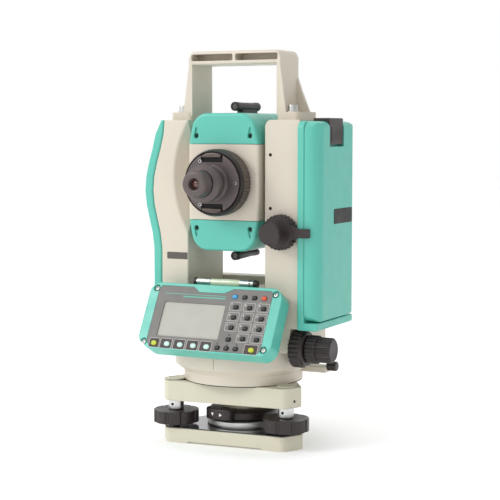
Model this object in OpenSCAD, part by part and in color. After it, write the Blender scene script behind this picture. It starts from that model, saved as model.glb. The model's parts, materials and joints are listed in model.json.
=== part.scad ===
// Surveying total station: levelling base, turning alidade with two standards,
// telescope on a trunnion axle, keyboard, battery pack and carrying handle.
// Millimetres, +Z up. The origin is on the vertical axis, on the surface that
// the base stands on. The keyboard and the eyepiece face -Y, the battery is on +X.

/* [Alidade] */
// Clear width between the two standards
fork_w = 76; // [74:1:92]
// Depth of the standards, front to back
standard_d = 68; // [58:1:82]
// Height of the trunnion axis above the lower housing
axis_rise = 147; // [140:1:177]
// Height from the trunnion axis to the top of the standards
standard_head = 54; // [45:1:65]
// Width of the front face of the right standard
right_standard_w = 32.5; // [27:0.5:39]
// Wall thickness of the cast standards
cast_wall = 4; // [3:0.5:5]
// Radius of the round lower housing
drum_r = 61.5; // [58:0.5:66]

/* [Telescope] */
// Side gap between the telescope and each standard
tel_gap = 4; // [3:0.5:6]
// Front of the telescope body, ahead of the trunnion axis
tel_front = 40; // [34:1:46]
// Back of the telescope body, behind the trunnion axis
tel_back = 42; // [35:1:48]
// Half height of the middle body between the two covers
tel_mid_h = 33; // [30:0.5:36]
// Half height over both covers
tel_half_h = 60; // [50:1:66]
// Radius of the focusing ring
focus_r = 29; // [23:0.5:31]
// Reach of the eyepiece ahead of the trunnion axis
eye_reach = 93; // [88:1:98]
// Radius of the objective barrel
objective_r = 28; // [24:0.5:32]
// Radius of the trunnion axle
trunnion_r = 8; // [6.5:0.5:9.5]

/* [Battery side] */
// Thickness of the battery frame
frame_t = 6.5; // [5:0.5:8]
// Depth of the battery pack, front to back
battery_d = 78; // [65:1:92]
// Thickness of the battery pack outside its frame
battery_t = 13.5; // [11:0.5:16]
// Height of the battery pack's lower end above the lower housing
battery_rise = 30; // [24:1:40]

/* [Keyboard] */
// Width of the keyboard housing
panel_w = 129; // [110:1:150]
// Height of the keyboard housing along its slope
panel_h = 62; // [60:1:72]
// Lean of the keyboard back from upright
panel_tilt = 29; // [20:1:36]
// Thickness of the keyboard housing
panel_t = 14; // [12:0.5:17]
// Travel of each key
key_travel = 0.8; // [0.5:0.1:1]

/* [Handle] */
// Height of the handle over its feet
handle_rise = 60.7; // [50:0.1:72]
// Depth of the handle, front to back
handle_d = 38; // [32:1:44]
// Thickness of the handle bar
bar_t = 12; // [10:0.5:14.5]

/* [Base] */
// Distance of each levelling screw from the vertical axis
foot_r = 61; // [56:1:70]
// Radius of the levelling knobs
knob_r = 20.3; // [17:0.1:24]
// Radius of the levelling spindles
spindle_r = 3; // [2.5:0.1:3.6]
// Thickness of the base plate
plate_t = 11.5; // [9.5:0.5:14]
// Height of the tribrach body
tribrach_h = 17.7; // [15:0.1:21]
// Radius of the vertical axle
axle_r = 9; // [7.5:0.5:11]
// Angle that the base is turned by, seen from the keyboard side
base_turn = 4; // [-25:1:25]
// Radius of the tapped hole for the tripod screw, at the crests of a 5/8 inch thread
tripod_hole_r = 6.8; // [6.8:0.1:8]

/* [Hidden] */
KEY_NAMES = [
  "key_light", "key_menu", "key_mode", "key_power",
  "key_7", "key_8", "key_9", "key_4", "key_5", "key_6",
  "key_1", "key_2", "key_3", "key_0", "key_point",
  "key_up", "key_left", "key_down", "key_right",
  "key_escape", "key_soft_1", "key_soft_2", "key_soft_3", "key_soft_4", "key_enter"
];

$fn = 96;
MINT = "#6cc4b2";
CREAM = "#dcd5c6";
DARK = "#4a4244";
STEEL = "#b8bcc0";

// Clearances: running fit, gap between moving bodies, and the smallest cutting overrun
fit = 0.04;
gap = 0.5;
cut = 0.1;

// Base: cut-off triangle, square to its three sides and its three corners
corner_angles = [-30, 90, 210];
foot_h = 1.5;
foot_pad_l = 18;
plate_side = foot_r - 15.5;
plate_corner = foot_r + 10;
body_side = foot_r - 17;
body_corner = foot_r + 10.5;
plate_top = foot_h + plate_t;
boss_r = 33;
boss_rise = 6.4;
boss_neck_r = 24;
boss_top = plate_top + boss_rise;
thread_l = boss_top - foot_h - 0.5;
knob_t = 11;
knob_lift = 3.5;
knob_bottom = plate_top + knob_lift;
knob_top = knob_bottom + knob_t;
knob_lobes = 9;
ball_r = spindle_r + 1.1;
ball_seat = plate_top - ball_r;
bush_r = spindle_r + 3.7;
tribrach_z = plate_top + 24.3;
tribrach_top = tribrach_z + tribrach_h;
hub_r = 21;
hub_z = boss_top + gap;
lock_r = 31;
lock_t = 9.5;
lock_z = hub_z + gap;
lock_reach = 40;
lock_angle = 257;
axle_bore_r = axle_r + fit;
axle_bottom = hub_z + 4;

// Lower housing of the alidade
ring_r = drum_r - 8;
ring_h = 8.4;
flare_h = 6;
drum_z = tribrach_top + gap;
flare_z = drum_z + ring_h;
housing_z = flare_z + flare_h;
housing_h = 15.4;
housing_top = housing_z + housing_h;
housing_wall = 4;
circle_r = ring_r - housing_wall - 5;
circle_t = 2.5;
circle_z = drum_z + 3;
cavity_top = housing_top - 6;
spindle_flange_t = 7;
axis_h = housing_top + axis_rise;
standard_top = axis_h + standard_head;
half_d = standard_d / 2;
block_w = fork_w - 0.4;
block_d = standard_d - 4;
deck_z = axis_h - eye_reach - 2.5;

// Standards: the left one swells outward beside the telescope
inner_x = fork_w / 2;
right_x = inner_x + right_standard_w;
right_foot_x = min(right_x, drum_r + 0.5);
core_x = inner_x + 22;
left_core_x = inner_x + 20;
left_top_x = inner_x + 24;
left_mid_x = inner_x + 36;
left_low_x = inner_x + 27;
cover_t = 8.5;
swell_z = axis_h - 8;
neck_z = axis_h - 62;
scoop_z = axis_h + 4;
scoop_half_h = 50;
scoop_depth = 10.3;
scoop_r = (scoop_half_h * scoop_half_h + scoop_depth * scoop_depth) / (2 * scoop_depth);

// Telescope
tel_w = fork_w - 2 * tel_gap;
cover_wall = 3;
seam = 0.3;
focus_t = 18.5;
focus_front = tel_front + gap + focus_t;
optic_r = 22;
plate_r = focus_r - 2.4;
eye_mount_r = 17;
eye_ring_r = 11.8;
eye_ring_l = 12;
eye_bore_r = 4.5;
objective_l = 24;
sight_r = 4;
sight_l = 46;
trunnion_l = 24;
trunnion_sunk = 4;
encoder_r = 20;
encoder_t = 2.5;

// Vertical clamp and tangent screw on the right standard
clamp_r = 15.4;
clamp_x = right_x - clamp_r - gap;
clamp_z = axis_h - 42;
lever_t = 5;
lever_back = max(half_d, (battery_d + 1) / 2) + gap;
clamp_t = lever_back + lever_t + 1 - half_d - gap;
clamp_front = half_d + gap + clamp_t;
clamp_reach = 29;
tangent_r = 11.9;
tangent_l = 15;
clamp_pin_r = 3;
pin_depth = 9;

// Horizontal clamp and tangent screw on the lower housing
side_y = -26;
side_clamp_x = drum_r + 1.5;
side_clamp_r = 16.5;
side_clamp_t = 13;
side_tangent_x = side_clamp_x + side_clamp_t + gap;
side_tangent_r = 12.3;
side_tangent_l = 23;

// Battery side
frame_x = right_x;
battery_x = frame_x + frame_t;
battery_out = battery_x + battery_t;
battery_top = standard_top - 1;
battery_z = housing_top + battery_rise;
battery_h = battery_top - battery_z;
frame_z = battery_z - 8.5;
frame_d = battery_d + 1;
side_z = frame_z - side_clamp_r - 1;
case_wall = 2.5;
case_gap = 0.3;
case_r = 9;
lip_gap = 2;
latch_w = 30;
latch_t = 2.4;
latch_drop = 20;
latch_reach = 16;
latch_recess = 5;
latch_sunk = 0.6;
latch_lift = 0.2;

// Keyboard: local X is right, local Y is up the slope, local Z is out of the panel
panel_y = -66.3;
panel_z = housing_top + 31.1;
panel_wall = 3;
panel_r = 9;
panel_back_t = 2.5;
overlay_t = 0.8;
overlay_w = panel_w - 18.5;
overlay_h = panel_h - 5.4;
overlay_y = -1;
window_w = 60;
window_h = 32;
window_x = -17;
window_y = -2.9;
window_t = 1.6;
window_sunk = 0.6;
key_r = 2.3;
key_t = 3.4;
key_rise = key_travel + 0.4;
key_gap = 0.35;
grid_x = 23.2;
grid_dx = 13.2;
grid_y = 11.6;
grid_dy = 9.4;
top_row_x = 20.3;
top_row_dx = 9.3;
arrow_dx = 8.7;
lowest_y = -26.1;
soft_x = -47.2;
soft_dx = 12.9;
enter_x = 46.9;

// Rear cover
rear_w = 116;
rear_d = 20;
rear_wall = 3;
rear_top = deck_z + 6;

// Handle
leg_t = 3.4;
leg_x = inner_x + 7;
flange_w = leg_t + 18;
flange_t = 6.9;
handle_z = standard_top;
handle_top = handle_z + handle_rise;
handle_half_d = handle_d / 2;
screw_x = leg_x + 8.8;
screw_y = 12;
screw_r = 2.5;
screw_head_r = 3.6;
screw_head_h = 3.6;

// Plate level, lying across the front of the deck, just clear of the turning eyepiece
vial_y = -half_d;
vial_r = 3.5;
vial_l = 62;
vial_z = axis_h - sqrt(pow(eye_reach + vial_r + 1.5, 2) - vial_y * vial_y);
vial_post_w = 6;

// Key centres on the panel, in the order of KEY_NAMES
KEY_PLACES = concat(
  [for (i = [0 : 3]) [top_row_x + i * top_row_dx, grid_y + grid_dy]],
  [for (r = [0 : 2], c = [0 : 2]) [grid_x + c * grid_dx, grid_y - r * grid_dy]],
  [for (c = [1 : 2]) [grid_x + c * grid_dx, grid_y - 3 * grid_dy]],
  [[grid_x, grid_y - 3 * grid_dy - 1.4]],
  [for (i = [-1 : 1]) [grid_x + i * arrow_dx, lowest_y]],
  [for (i = [0 : 4]) [soft_x + i * soft_dx, lowest_y]],
  [[enter_x, lowest_y]]
);
FIRST_SOFT = 19;
LAST_KEY = 24;

// Where the bracket meets the upper edge of the keyboard's back
bracket_top = panel_yz(panel_h / 2 - 2, -panel_t);

// Corners of a triangle cut square at its points, at these distances from its centre
function cut_triangle(side, corner) = [
  for (a = corner_angles, s = [-1, 1])
    let (t = s * (side - corner / 2) / sin(60))
    [corner * cos(a) - t * sin(a), corner * sin(a) + t * cos(a)]
];

// Outer edge of the left standard at one height: top, swell and foot joined by cosines
function ease(t) = (1 - cos(180 * t)) / 2;
function swell_x(z) =
  z > swell_z
  ? left_mid_x + (left_top_x - left_mid_x) * ease((z - swell_z) / (standard_top - swell_z))
  : left_mid_x + (left_low_x - left_mid_x) * ease(min(1, (swell_z - z) / (swell_z - neck_z)));
SWELL_HEIGHTS = [for (i = [0 : 16]) housing_top + (standard_top - housing_top) * i / 16];

module rounded_rect(w, h, r) {
  square([w - 2 * r, h], center = true);
  square([w, h - 2 * r], center = true);
  for (x = [-1, 1], y = [-1, 1]) translate([x * (w / 2 - r), y * (h / 2 - r)]) circle(r);
}

// A solid between two X values, with its section drawn as [y, z]
module along_x(x, l) translate([x, 0, 0]) rotate([90, 0, 90]) linear_extrude(l) children();

// A solid between two Y values, with its section drawn as [x, z]
module along_y(y, l) translate([0, y + l, 0]) rotate([90, 0, 0]) linear_extrude(l) children();

module rod_x(x, l, r, y = 0, z = 0) translate([x, y, z]) rotate([0, 90, 0]) cylinder(h = l, r = r);

module rod_y(y, l, r, x = 0, z = 0) translate([x, y, z]) rotate([-90, 0, 0]) cylinder(h = l, r = r);

module at_feet() rotate(base_turn) for (a = corner_angles) rotate(a) translate([foot_r, 0, 0])
  children();

module on_panel() translate([0, panel_y, panel_z]) rotate([90 - panel_tilt, 0, 0]) children();

// The [y, z] place of a point q up the slope of the keyboard and n out of it
function panel_yz(q, n) = [
  panel_y + q * sin(panel_tilt) - n * cos(panel_tilt),
  panel_z + q * cos(panel_tilt) + n * sin(panel_tilt)
];

// ---- Base ----

module base_plate() color(CREAM) difference() {
  rotate(base_turn) difference() {
    linear_extrude(plate_top) polygon(cut_triangle(plate_side, plate_corner));
    translate([0, 0, -cut]) linear_extrude(foot_h + cut) difference() {
      circle(r = 2 * plate_corner);
      for (a = corner_angles) rotate(a) translate([plate_corner - foot_pad_l, -50]) square([60, 100]);
    }
  }
  translate([0, 0, -cut]) cylinder(h = plate_top + 2 * cut, r = boss_neck_r + fit);
  at_feet() translate([0, 0, ball_seat - ball_r - gap]) cylinder(h = 20, r = ball_r + gap);
}

module centre_boss() color(STEEL) difference() {
  union() {
    translate([0, 0, plate_top]) cylinder(h = boss_rise, r = boss_r);
    translate([0, 0, boss_top - thread_l]) cylinder(h = thread_l - 1, r = boss_neck_r);
  }
  translate([0, 0, -cut]) cylinder(h = boss_top - 3, r = tripod_hole_r);
  translate([0, 0, boss_top - 4]) cylinder(h = 5, r = tripod_hole_r + 1.2);
}

module tribrach_body() color(CREAM) difference() {
  union() {
    translate([0, 0, tribrach_z]) rotate(base_turn)
      linear_extrude(tribrach_h) polygon(cut_triangle(body_side, body_corner));
    translate([0, 0, hub_z]) cylinder(h = tribrach_z - hub_z + 1, r = hub_r);
    at_feet() translate([0, 0, knob_top + gap]) cylinder(h = tribrach_z - knob_top, r = bush_r);
  }
  translate([0, 0, axle_bottom - 2]) cylinder(h = tribrach_top, r = axle_bore_r);
  at_feet() translate([0, 0, knob_top]) cylinder(h = tribrach_h - 4 + tribrach_z - knob_top,
    r = spindle_r + fit);
  translate([0, 0, tribrach_top - 3]) cylinder(h = 4, r = hub_r);
}

module horizontal_circle() color(STEEL) difference() {
  translate([0, 0, tribrach_top - 3]) union() {
    cylinder(h = circle_z - tribrach_top + 3 + circle_t, r = axle_r + 6);
    translate([0, 0, circle_z - tribrach_top + 3]) cylinder(h = circle_t, r = circle_r);
  }
  translate([0, 0, tribrach_z]) cylinder(h = 60, r = axle_r + 1);
}

module level_screw(angle) color(DARK) rotate(base_turn + angle) translate([foot_r, 0, 0]) {
  translate([0, 0, knob_bottom]) linear_extrude(knob_t) difference() {
    circle(r = knob_r);
    for (i = [0 : knob_lobes - 1]) rotate((i + 0.5) * 360 / knob_lobes) translate([knob_r + 0.9, 0])
      circle(r = 2.2, $fn = 32);
  }
  translate([0, 0, ball_seat]) cylinder(h = tribrach_z + tribrach_h - 6 - ball_seat, r = spindle_r);
  translate([0, 0, ball_seat]) sphere(r = ball_r);
}

module lock_lever() color(DARK) difference() {
  union() {
    translate([0, 0, lock_z]) cylinder(h = lock_t, r = lock_r);
    rotate(lock_angle) translate([0, 0, lock_z + 2]) linear_extrude(lock_t) {
      translate([lock_reach - 8, 0]) circle(r = 7);
      translate([0, -7]) square([lock_reach - 8, 14]);
    }
  }
  translate([0, 0, hub_z - gap]) cylinder(h = 30, r = hub_r + fit);
}

// ---- Alidade ----

module alidade_base() color(CREAM) difference() {
  union() {
    translate([0, 0, drum_z]) cylinder(h = ring_h, r = ring_r);
    translate([0, 0, flare_z]) cylinder(h = flare_h, r1 = ring_r, r2 = drum_r);
    translate([0, 0, housing_z]) cylinder(h = housing_h, r = drum_r);
    translate([0, 0, housing_top - 1]) linear_extrude(deck_z - housing_top + 1)
      square([block_w, block_d], center = true);
    // Bracket from the block to the back of the keyboard
    along_x(-block_w / 2, block_w) polygon([
      bracket_top, panel_yz(-panel_h / 2 + 9, -panel_t), [-drum_r + 10, housing_top - 0.5],
      [-block_d / 2 + 1, housing_top - 0.5], [-block_d / 2 + 1, bracket_top[1]]
    ]);
  }
  translate([0, 0, drum_z - cut]) cylinder(h = cavity_top - drum_z + cut, r = ring_r - housing_wall);
  translate([0, 0, housing_top + 2]) linear_extrude(deck_z - housing_top - housing_wall - 2)
    square([block_w - 2 * housing_wall, block_d - 2 * housing_wall], center = true);
}

module vertical_spindle() color(STEEL) {
  translate([0, 0, axle_bottom]) cylinder(h = cavity_top - axle_bottom, r = axle_r);
  translate([0, 0, cavity_top - spindle_flange_t]) cylinder(h = spindle_flange_t,
    r = ring_r - housing_wall - 1);
}

module left_standard() color(CREAM) difference() {
  along_y(-half_d, standard_d) polygon(concat(
    [[-inner_x, housing_top], [-inner_x, standard_top]],
    [for (i = [16 : -1 : 0]) [-swell_x(SWELL_HEIGHTS[i]), SWELL_HEIGHTS[i]]]
  ));
  left_cavity(standard_d - 2 * cast_wall, cast_wall);
  rod_x(-left_core_x - cut, left_core_x, trunnion_r + fit, 0, axis_h);
  // Curved hollow in the inner front edge, which leaves room for a hand at the focusing ring
  translate([-inner_x, -half_d, scoop_z]) rotate(-45)
    rod_y(-150, 300, scoop_r, scoop_r - scoop_depth, 0);
}

// The hollow inside the left standard, open to its cover
module left_cavity(d, wall) along_y(-d / 2, d) polygon(concat(
  [[-left_core_x, housing_top + wall], [-left_core_x, standard_top - wall]],
  [for (i = [15 : -1 : 1]) [-swell_x(SWELL_HEIGHTS[i]) - 1, SWELL_HEIGHTS[i]]]
));

module left_cover() color(MINT) difference() {
  along_y(-half_d, standard_d) polygon(concat(
    [for (i = [0 : 16]) [-swell_x(SWELL_HEIGHTS[i]) - seam, SWELL_HEIGHTS[i]]],
    [for (i = [16 : -1 : 0]) [-swell_x(SWELL_HEIGHTS[i]) - cover_t + (i == 16 ? 5 :
      0), SWELL_HEIGHTS[i]]]
  ));
  along_y(-half_d + cover_wall, standard_d - 2 * cover_wall) polygon(concat(
    [for (i = [1 : 15]) [-swell_x(SWELL_HEIGHTS[i]) + 1, SWELL_HEIGHTS[i]]],
    [for (i = [15 : -1 : 1]) [-swell_x(SWELL_HEIGHTS[i]) - cover_t + cover_wall, SWELL_HEIGHTS[i]]]
  ));
}

module right_standard() color(CREAM) difference() {
  along_y(-half_d, standard_d) {
    translate([inner_x, housing_top]) square([right_foot_x - inner_x, frame_z - housing_top + 1]);
    translate([inner_x, frame_z]) square([right_standard_w, standard_top - frame_z - 6]);
    translate([inner_x + 6, frame_z]) square([right_standard_w - 6, standard_top - frame_z]);
    translate([inner_x + 6, standard_top - 6]) circle(r = 6);
  }
  translate([core_x, -half_d + cast_wall, frame_z + cast_wall])
    cube([right_standard_w, standard_d - 2 * cast_wall, standard_top - frame_z - 2 * cast_wall]);
  rod_x(inner_x - cut, trunnion_l, trunnion_r + fit, 0, axis_h);
  rod_y(-half_d - cut, pin_depth, clamp_pin_r + fit, clamp_x, clamp_z);
  rod_x(right_foot_x - pin_depth, pin_depth + cut, clamp_pin_r + fit, side_y, side_z);
  for (z = [-22, 24]) rod_y(-half_d - 1, 3, 1.1, inner_x + 5, axis_h + z);
}

module trunnion_axles() color(STEEL) {
  rod_x(tel_w / 2 - trunnion_sunk, trunnion_l, trunnion_r, 0, axis_h);
  rod_x(-left_core_x - 4, left_core_x + 4 - tel_w / 2 + trunnion_sunk, trunnion_r, 0, axis_h);
  // Encoder disc, inside the left standard
  rod_x(-left_core_x - 4, encoder_t, encoder_r, 0, axis_h);
}

module plate_level() color(DARK) {
  rod_x(-vial_l / 2, vial_l, vial_r, vial_y, vial_z);
  for (s = [-1, 1]) translate([s * (vial_l / 2 - vial_post_w) - vial_post_w / 2, vial_y - 2.5, deck_z])
    cube([vial_post_w, 7.5, vial_z - deck_z]);
}

module rear_cover() color(CREAM) difference() {
  translate([-rear_w / 2, half_d + seam, housing_top + gap])
    cube([rear_w, rear_d, rear_top - housing_top]);
  translate([-rear_w / 2 + rear_wall, half_d - 1, housing_top + gap + rear_wall])
    cube([rear_w - 2 * rear_wall, rear_d - rear_wall + 1, rear_top - housing_top - 2 * rear_wall]);
}

// ---- Handle ----

module carry_handle() color(CREAM) difference() {
  union() {
    translate([-leg_x, -handle_half_d, handle_top - bar_t]) cube([2 * leg_x, handle_d, bar_t]);
    for (s = [-1, 1]) {
      translate([s > 0 ? leg_x - leg_t : -leg_x, -handle_half_d, handle_z])
        cube([leg_t, handle_d, handle_rise - 1]);
      translate([s > 0 ? leg_x - leg_t : -leg_x + leg_t - flange_w, -handle_half_d - 1, handle_z])
        cube([flange_w, handle_d + 2, flange_t]);
    }
  }
  for (s = [-1, 1]) translate([s * screw_x, -screw_y, handle_z - 1])
    cylinder(h = 12, r = screw_r + 0.2);
}

module handle_screws() color(STEEL) for (s = [-1, 1])
  translate([s * screw_x, -screw_y, 0]) difference() {
    union() {
      translate([0, 0, handle_z + 0.5]) cylinder(h = flange_t, r = screw_r);
      translate([0, 0, handle_z + flange_t]) cylinder(h = screw_head_h, r = screw_head_r);
    }
    translate([0, 0, handle_z + flange_t + 1.4]) cylinder(h = 4, r = 1.8, $fn = 6);
  }

// ---- Battery side ----

module battery_frame() color(MINT) difference() {
  union() {
    translate([frame_x + seam, -frame_d / 2, frame_z])
      cube([frame_t - seam, frame_d, battery_top - frame_z]);
    translate([battery_x - 1, -frame_d / 2, frame_z])
      cube([battery_t, frame_d, battery_z - frame_z - lip_gap]);
  }
  translate([frame_x - 1, -frame_d / 2 + 8, battery_z])
    cube([frame_t - 1.5, frame_d - 16, battery_h - 8]);
}

module battery_pack() color(MINT) difference() {
  translate([battery_x + case_gap, 0, battery_z]) linear_extrude(battery_h - case_gap) case_plan();
  translate([battery_x - 1, -battery_d / 2 + case_wall + 3, battery_z + case_wall])
    cube([battery_t - case_wall - latch_recess, battery_d - 2 * case_wall - 6,
      battery_h - 2 * case_wall - 8]);
  translate([battery_out - latch_recess, -latch_w / 2 - gap, battery_top - latch_drop - 2])
    cube([latch_recess + 1, latch_w + 2 * gap, latch_drop + 3]);
}

// Plan of the battery case, flat against its frame and rounded outside
module case_plan() {
  w = battery_t - case_gap;
  intersection() {
    translate([0, -battery_d / 2]) square([w, battery_d]);
    union() {
      translate([0, -battery_d / 2]) square([max(0.1, w - case_r), battery_d]);
      translate([0, -battery_d / 2 + case_r]) square([w, battery_d - 2 * case_r]);
      for (s = [-1, 1]) translate([w - case_r, s * (battery_d / 2 - case_r)]) circle(case_r);
    }
  }
}

module battery_latch() color(DARK) {
  translate([battery_out - latch_t - latch_sunk, -latch_w / 2, battery_top - latch_drop])
    cube([latch_t, latch_w, latch_drop + latch_lift + latch_t / 2]);
  translate([battery_out - latch_reach, -latch_w / 2, battery_top + latch_lift])
    cube([latch_reach - latch_sunk - latch_t / 2, latch_w, latch_t]);
  // Rounded outer corner, which the latch turns on
  rod_y(-latch_w / 2, latch_w, latch_t / 2, battery_out - latch_sunk - latch_t / 2,
    battery_top + latch_lift + latch_t / 2);
}

// ---- Keyboard ----

module keyboard_housing() color(MINT) on_panel() difference() {
  translate([0, 0, -panel_t]) linear_extrude(panel_t) rounded_rect(panel_w, panel_h, panel_r);
  translate([0, 0, panel_back_t - panel_t]) linear_extrude(panel_t - panel_wall - panel_back_t)
    rounded_rect(panel_w - 2 * panel_wall, panel_h - 2 * panel_wall, panel_r - panel_wall);
  translate([0, overlay_y, -overlay_t]) linear_extrude(2) rounded_rect(overlay_w, overlay_h, 4);
  translate([window_x, window_y, -10]) linear_extrude(20)
    rounded_rect(window_w + 0.4, window_h + 0.4, 1.5);
  translate([0, 0, -10]) linear_extrude(20) for (p = KEY_PLACES) translate(p)
    circle(key_r + key_gap, $fn = 32);
}

module keypad_overlay() color("#8e8a88") on_panel() translate([0, 0, -overlay_t])
  linear_extrude(overlay_t) difference() {
  translate([0, overlay_y]) rounded_rect(overlay_w - 0.4, overlay_h - 0.4, 4);
  translate([window_x, window_y]) rounded_rect(window_w + 0.4, window_h + 0.4, 1.5);
  for (p = KEY_PLACES) translate(p) circle(key_r + key_gap, $fn = 32);
}

module display_window() color("#c3c2b9") on_panel()
  translate([window_x, window_y, -window_t - window_sunk])
  linear_extrude(window_t) rounded_rect(window_w, window_h, 1.5);

// One key of the pad, a round stem with a flat top
module key(i) {
  soft = i > FIRST_SOFT && i < LAST_KEY;
  tone = i == 0 ? "#4aa8d8" : i == 3 ? "#e05a3c" : soft ? "#bfe5dc" :
    i == FIRST_SOFT || i == LAST_KEY ? "#c2cf3a" : DARK;
  color(tone) on_panel() translate([KEY_PLACES[i][0], KEY_PLACES[i][1], key_rise - key_t])
    cylinder(h = key_t, r = key_r, $fn = 32);
}

// ---- Telescope ----

module telescope_body() color(CREAM) difference() {
  translate([-tel_w / 2, -tel_front, axis_h - tel_mid_h])
    cube([tel_w, tel_front + tel_back, 2 * tel_mid_h]);
  rod_y(-tel_front - 1, tel_front + tel_back + 2, optic_r, 0, axis_h);
  for (s = [-1, 1]) rod_x(s * (tel_w / 2 - trunnion_sunk / 2)
    - trunnion_sunk / 2, trunnion_sunk, trunnion_r, 0, axis_h);
}

module telescope_covers() color(MINT) for (s = [0, 1]) translate([0, 0, axis_h]) mirror([0, 0, s])
  difference() {
  along_y(-tel_front, tel_front + tel_back) cover_section(tel_w, tel_half_h, 0);
  along_y(-tel_front + cover_wall, tel_front + tel_back - 2 * cover_wall)
    cover_section(tel_w - 2 * cover_wall, tel_half_h - cover_wall, -1);
}

// Half section of the telescope above its seam: sides that lean in, then a rounded top
module cover_section(w, top, down) {
  r = 12;
  lean = 5.5;
  base = tel_mid_h + seam + down;
  polygon([[-w / 2, base], [w / 2, base], [w / 2 - lean, top - r], [-w / 2 + lean, top - r]]);
  translate([-w / 2 + lean + r, top - r - 1]) square([w - 2 * lean - 2 * r, r + 1]);
  for (s = [-1, 1]) translate([s * (w / 2 - lean - r), top - r]) circle(r);
}

module objective_barrel() color(DARK) difference() {
  rod_y(tel_back + seam, objective_l, objective_r, 0, axis_h);
  rod_y(tel_back, objective_l + 2, objective_r - 4, 0, axis_h);
}

module focus_ring() color(DARK) difference() {
  rod_y(-focus_front, focus_t, focus_r, 0, axis_h);
  rod_y(-focus_front - 1, focus_t + 2, optic_r - 4 + fit, 0, axis_h);
}

module eyepiece_tube() color(DARK) difference() {
  union() {
    rod_y(-tel_front, 8, optic_r - fit, 0, axis_h);
    rod_y(-focus_front - 2, focus_front - tel_front + 4, optic_r - 4, 0, axis_h);
    rod_y(-focus_front - gap - 2, 2, plate_r, 0, axis_h);
    translate([0, -focus_front - gap - 1, axis_h]) rotate([90, 0, 0])
      cylinder(h = eye_reach - eye_ring_l - focus_front - gap - 2, r1 = eye_mount_r,
        r2 = eye_ring_r + 2);
  }
  rod_y(-eye_reach, eye_reach, eye_bore_r + 2, 0, axis_h);
}

module eyepiece_ring() color(DARK) difference() {
  union() {
    rod_y(-eye_reach, eye_ring_l, eye_ring_r, 0, axis_h);
    rod_y(-eye_reach + eye_ring_l - 1, 9, eye_bore_r + 2 - fit, 0, axis_h);
  }
  rod_y(-eye_reach - 1, eye_ring_l + 12, eye_bore_r, 0, axis_h);
}

module sights() color(DARK) for (s = [0, 1]) translate([0, 0, axis_h]) mirror([0, 0, s]) {
  rod_y(-18, sight_l, sight_r, 0, tel_half_h + sight_r + 2);
  translate([-3, -8, tel_half_h]) cube([6, sight_l - 14, 4]);
}

// ---- Clamps and tangent screws ----

module vertical_clamp() color(DARK) difference() {
  union() {
    rod_y(-clamp_front, clamp_t, clamp_r, clamp_x, clamp_z);
    translate([clamp_x, -lever_back - lever_t, clamp_z - 4]) cube([clamp_reach, lever_t, 8]);
  }
  rod_y(-clamp_front - cut, clamp_t + 2 * cut, clamp_pin_r + fit, clamp_x, clamp_z);
}

module vertical_tangent() color(DARK) {
  rod_y(-clamp_front - gap - tangent_l, tangent_l, tangent_r, clamp_x, clamp_z);
  rod_y(-clamp_front - gap - 1, clamp_front - half_d + pin_depth - 1, clamp_pin_r, clamp_x, clamp_z);
}

module horizontal_clamp() color(DARK) difference() {
  rod_x(side_clamp_x, side_clamp_t, side_clamp_r, side_y, side_z);
  rod_x(side_clamp_x - cut, side_clamp_t + 2 * cut, clamp_pin_r + fit, side_y, side_z);
}

module horizontal_tangent() color(DARK) {
  rod_x(side_tangent_x, side_tangent_l, side_tangent_r, side_y, side_z);
  rod_x(right_foot_x - pin_depth + gap, side_tangent_x - right_foot_x + pin_depth, clamp_pin_r,
    side_y, side_z);
}

base_plate();
centre_boss();
tribrach_body();
horizontal_circle();
level_screw(corner_angles[0]);  // level_screw_front_right
level_screw(corner_angles[1]);  // level_screw_rear
level_screw(corner_angles[2]);  // level_screw_front_left
lock_lever();
alidade_base();
vertical_spindle();
left_standard();
right_standard();
left_cover();
battery_frame();
battery_pack();
battery_latch();
carry_handle();
handle_screws();
plate_level();
keyboard_housing();
keypad_overlay();
display_window();
rear_cover();
telescope_body();
telescope_covers();
objective_barrel();
focus_ring();
eyepiece_tube();
eyepiece_ring();
sights();
trunnion_axles();
vertical_clamp();
vertical_tangent();
horizontal_clamp();
horizontal_tangent();
for (i = [0 : LAST_KEY]) key(i);
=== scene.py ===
"""Looks of a surveying total station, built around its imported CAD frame."""

import json
import logging
import math
from collections.abc import Callable, Iterable, Sequence
from dataclasses import dataclass, field
from enum import Enum

import bmesh
import bpy
from mathutils import Matrix, Vector


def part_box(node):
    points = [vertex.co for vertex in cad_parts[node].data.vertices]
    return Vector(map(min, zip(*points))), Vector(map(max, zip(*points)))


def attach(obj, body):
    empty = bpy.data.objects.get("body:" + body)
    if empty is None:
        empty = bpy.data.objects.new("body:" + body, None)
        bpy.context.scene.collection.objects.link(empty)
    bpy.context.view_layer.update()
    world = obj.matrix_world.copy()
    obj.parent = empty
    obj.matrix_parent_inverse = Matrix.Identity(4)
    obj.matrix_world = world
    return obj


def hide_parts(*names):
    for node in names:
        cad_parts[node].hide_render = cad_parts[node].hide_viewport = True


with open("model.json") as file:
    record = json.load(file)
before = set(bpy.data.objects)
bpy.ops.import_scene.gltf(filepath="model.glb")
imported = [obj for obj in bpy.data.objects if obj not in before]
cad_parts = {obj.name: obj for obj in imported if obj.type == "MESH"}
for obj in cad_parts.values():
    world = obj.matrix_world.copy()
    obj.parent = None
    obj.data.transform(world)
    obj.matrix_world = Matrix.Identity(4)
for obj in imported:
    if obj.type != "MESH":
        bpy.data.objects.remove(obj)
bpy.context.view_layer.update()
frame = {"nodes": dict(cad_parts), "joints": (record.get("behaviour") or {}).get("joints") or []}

LOG = logging.getLogger("total_station")
MM = 0.001
OUTLINE = Sequence[tuple[float, float]]
EDGE_TEST = Callable[[Vector, Vector], bool]
TREE = bpy.types.NodeTree
SOCKET = bpy.types.NodeSocket


# ---- Colours, nodes and finishes ----


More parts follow.
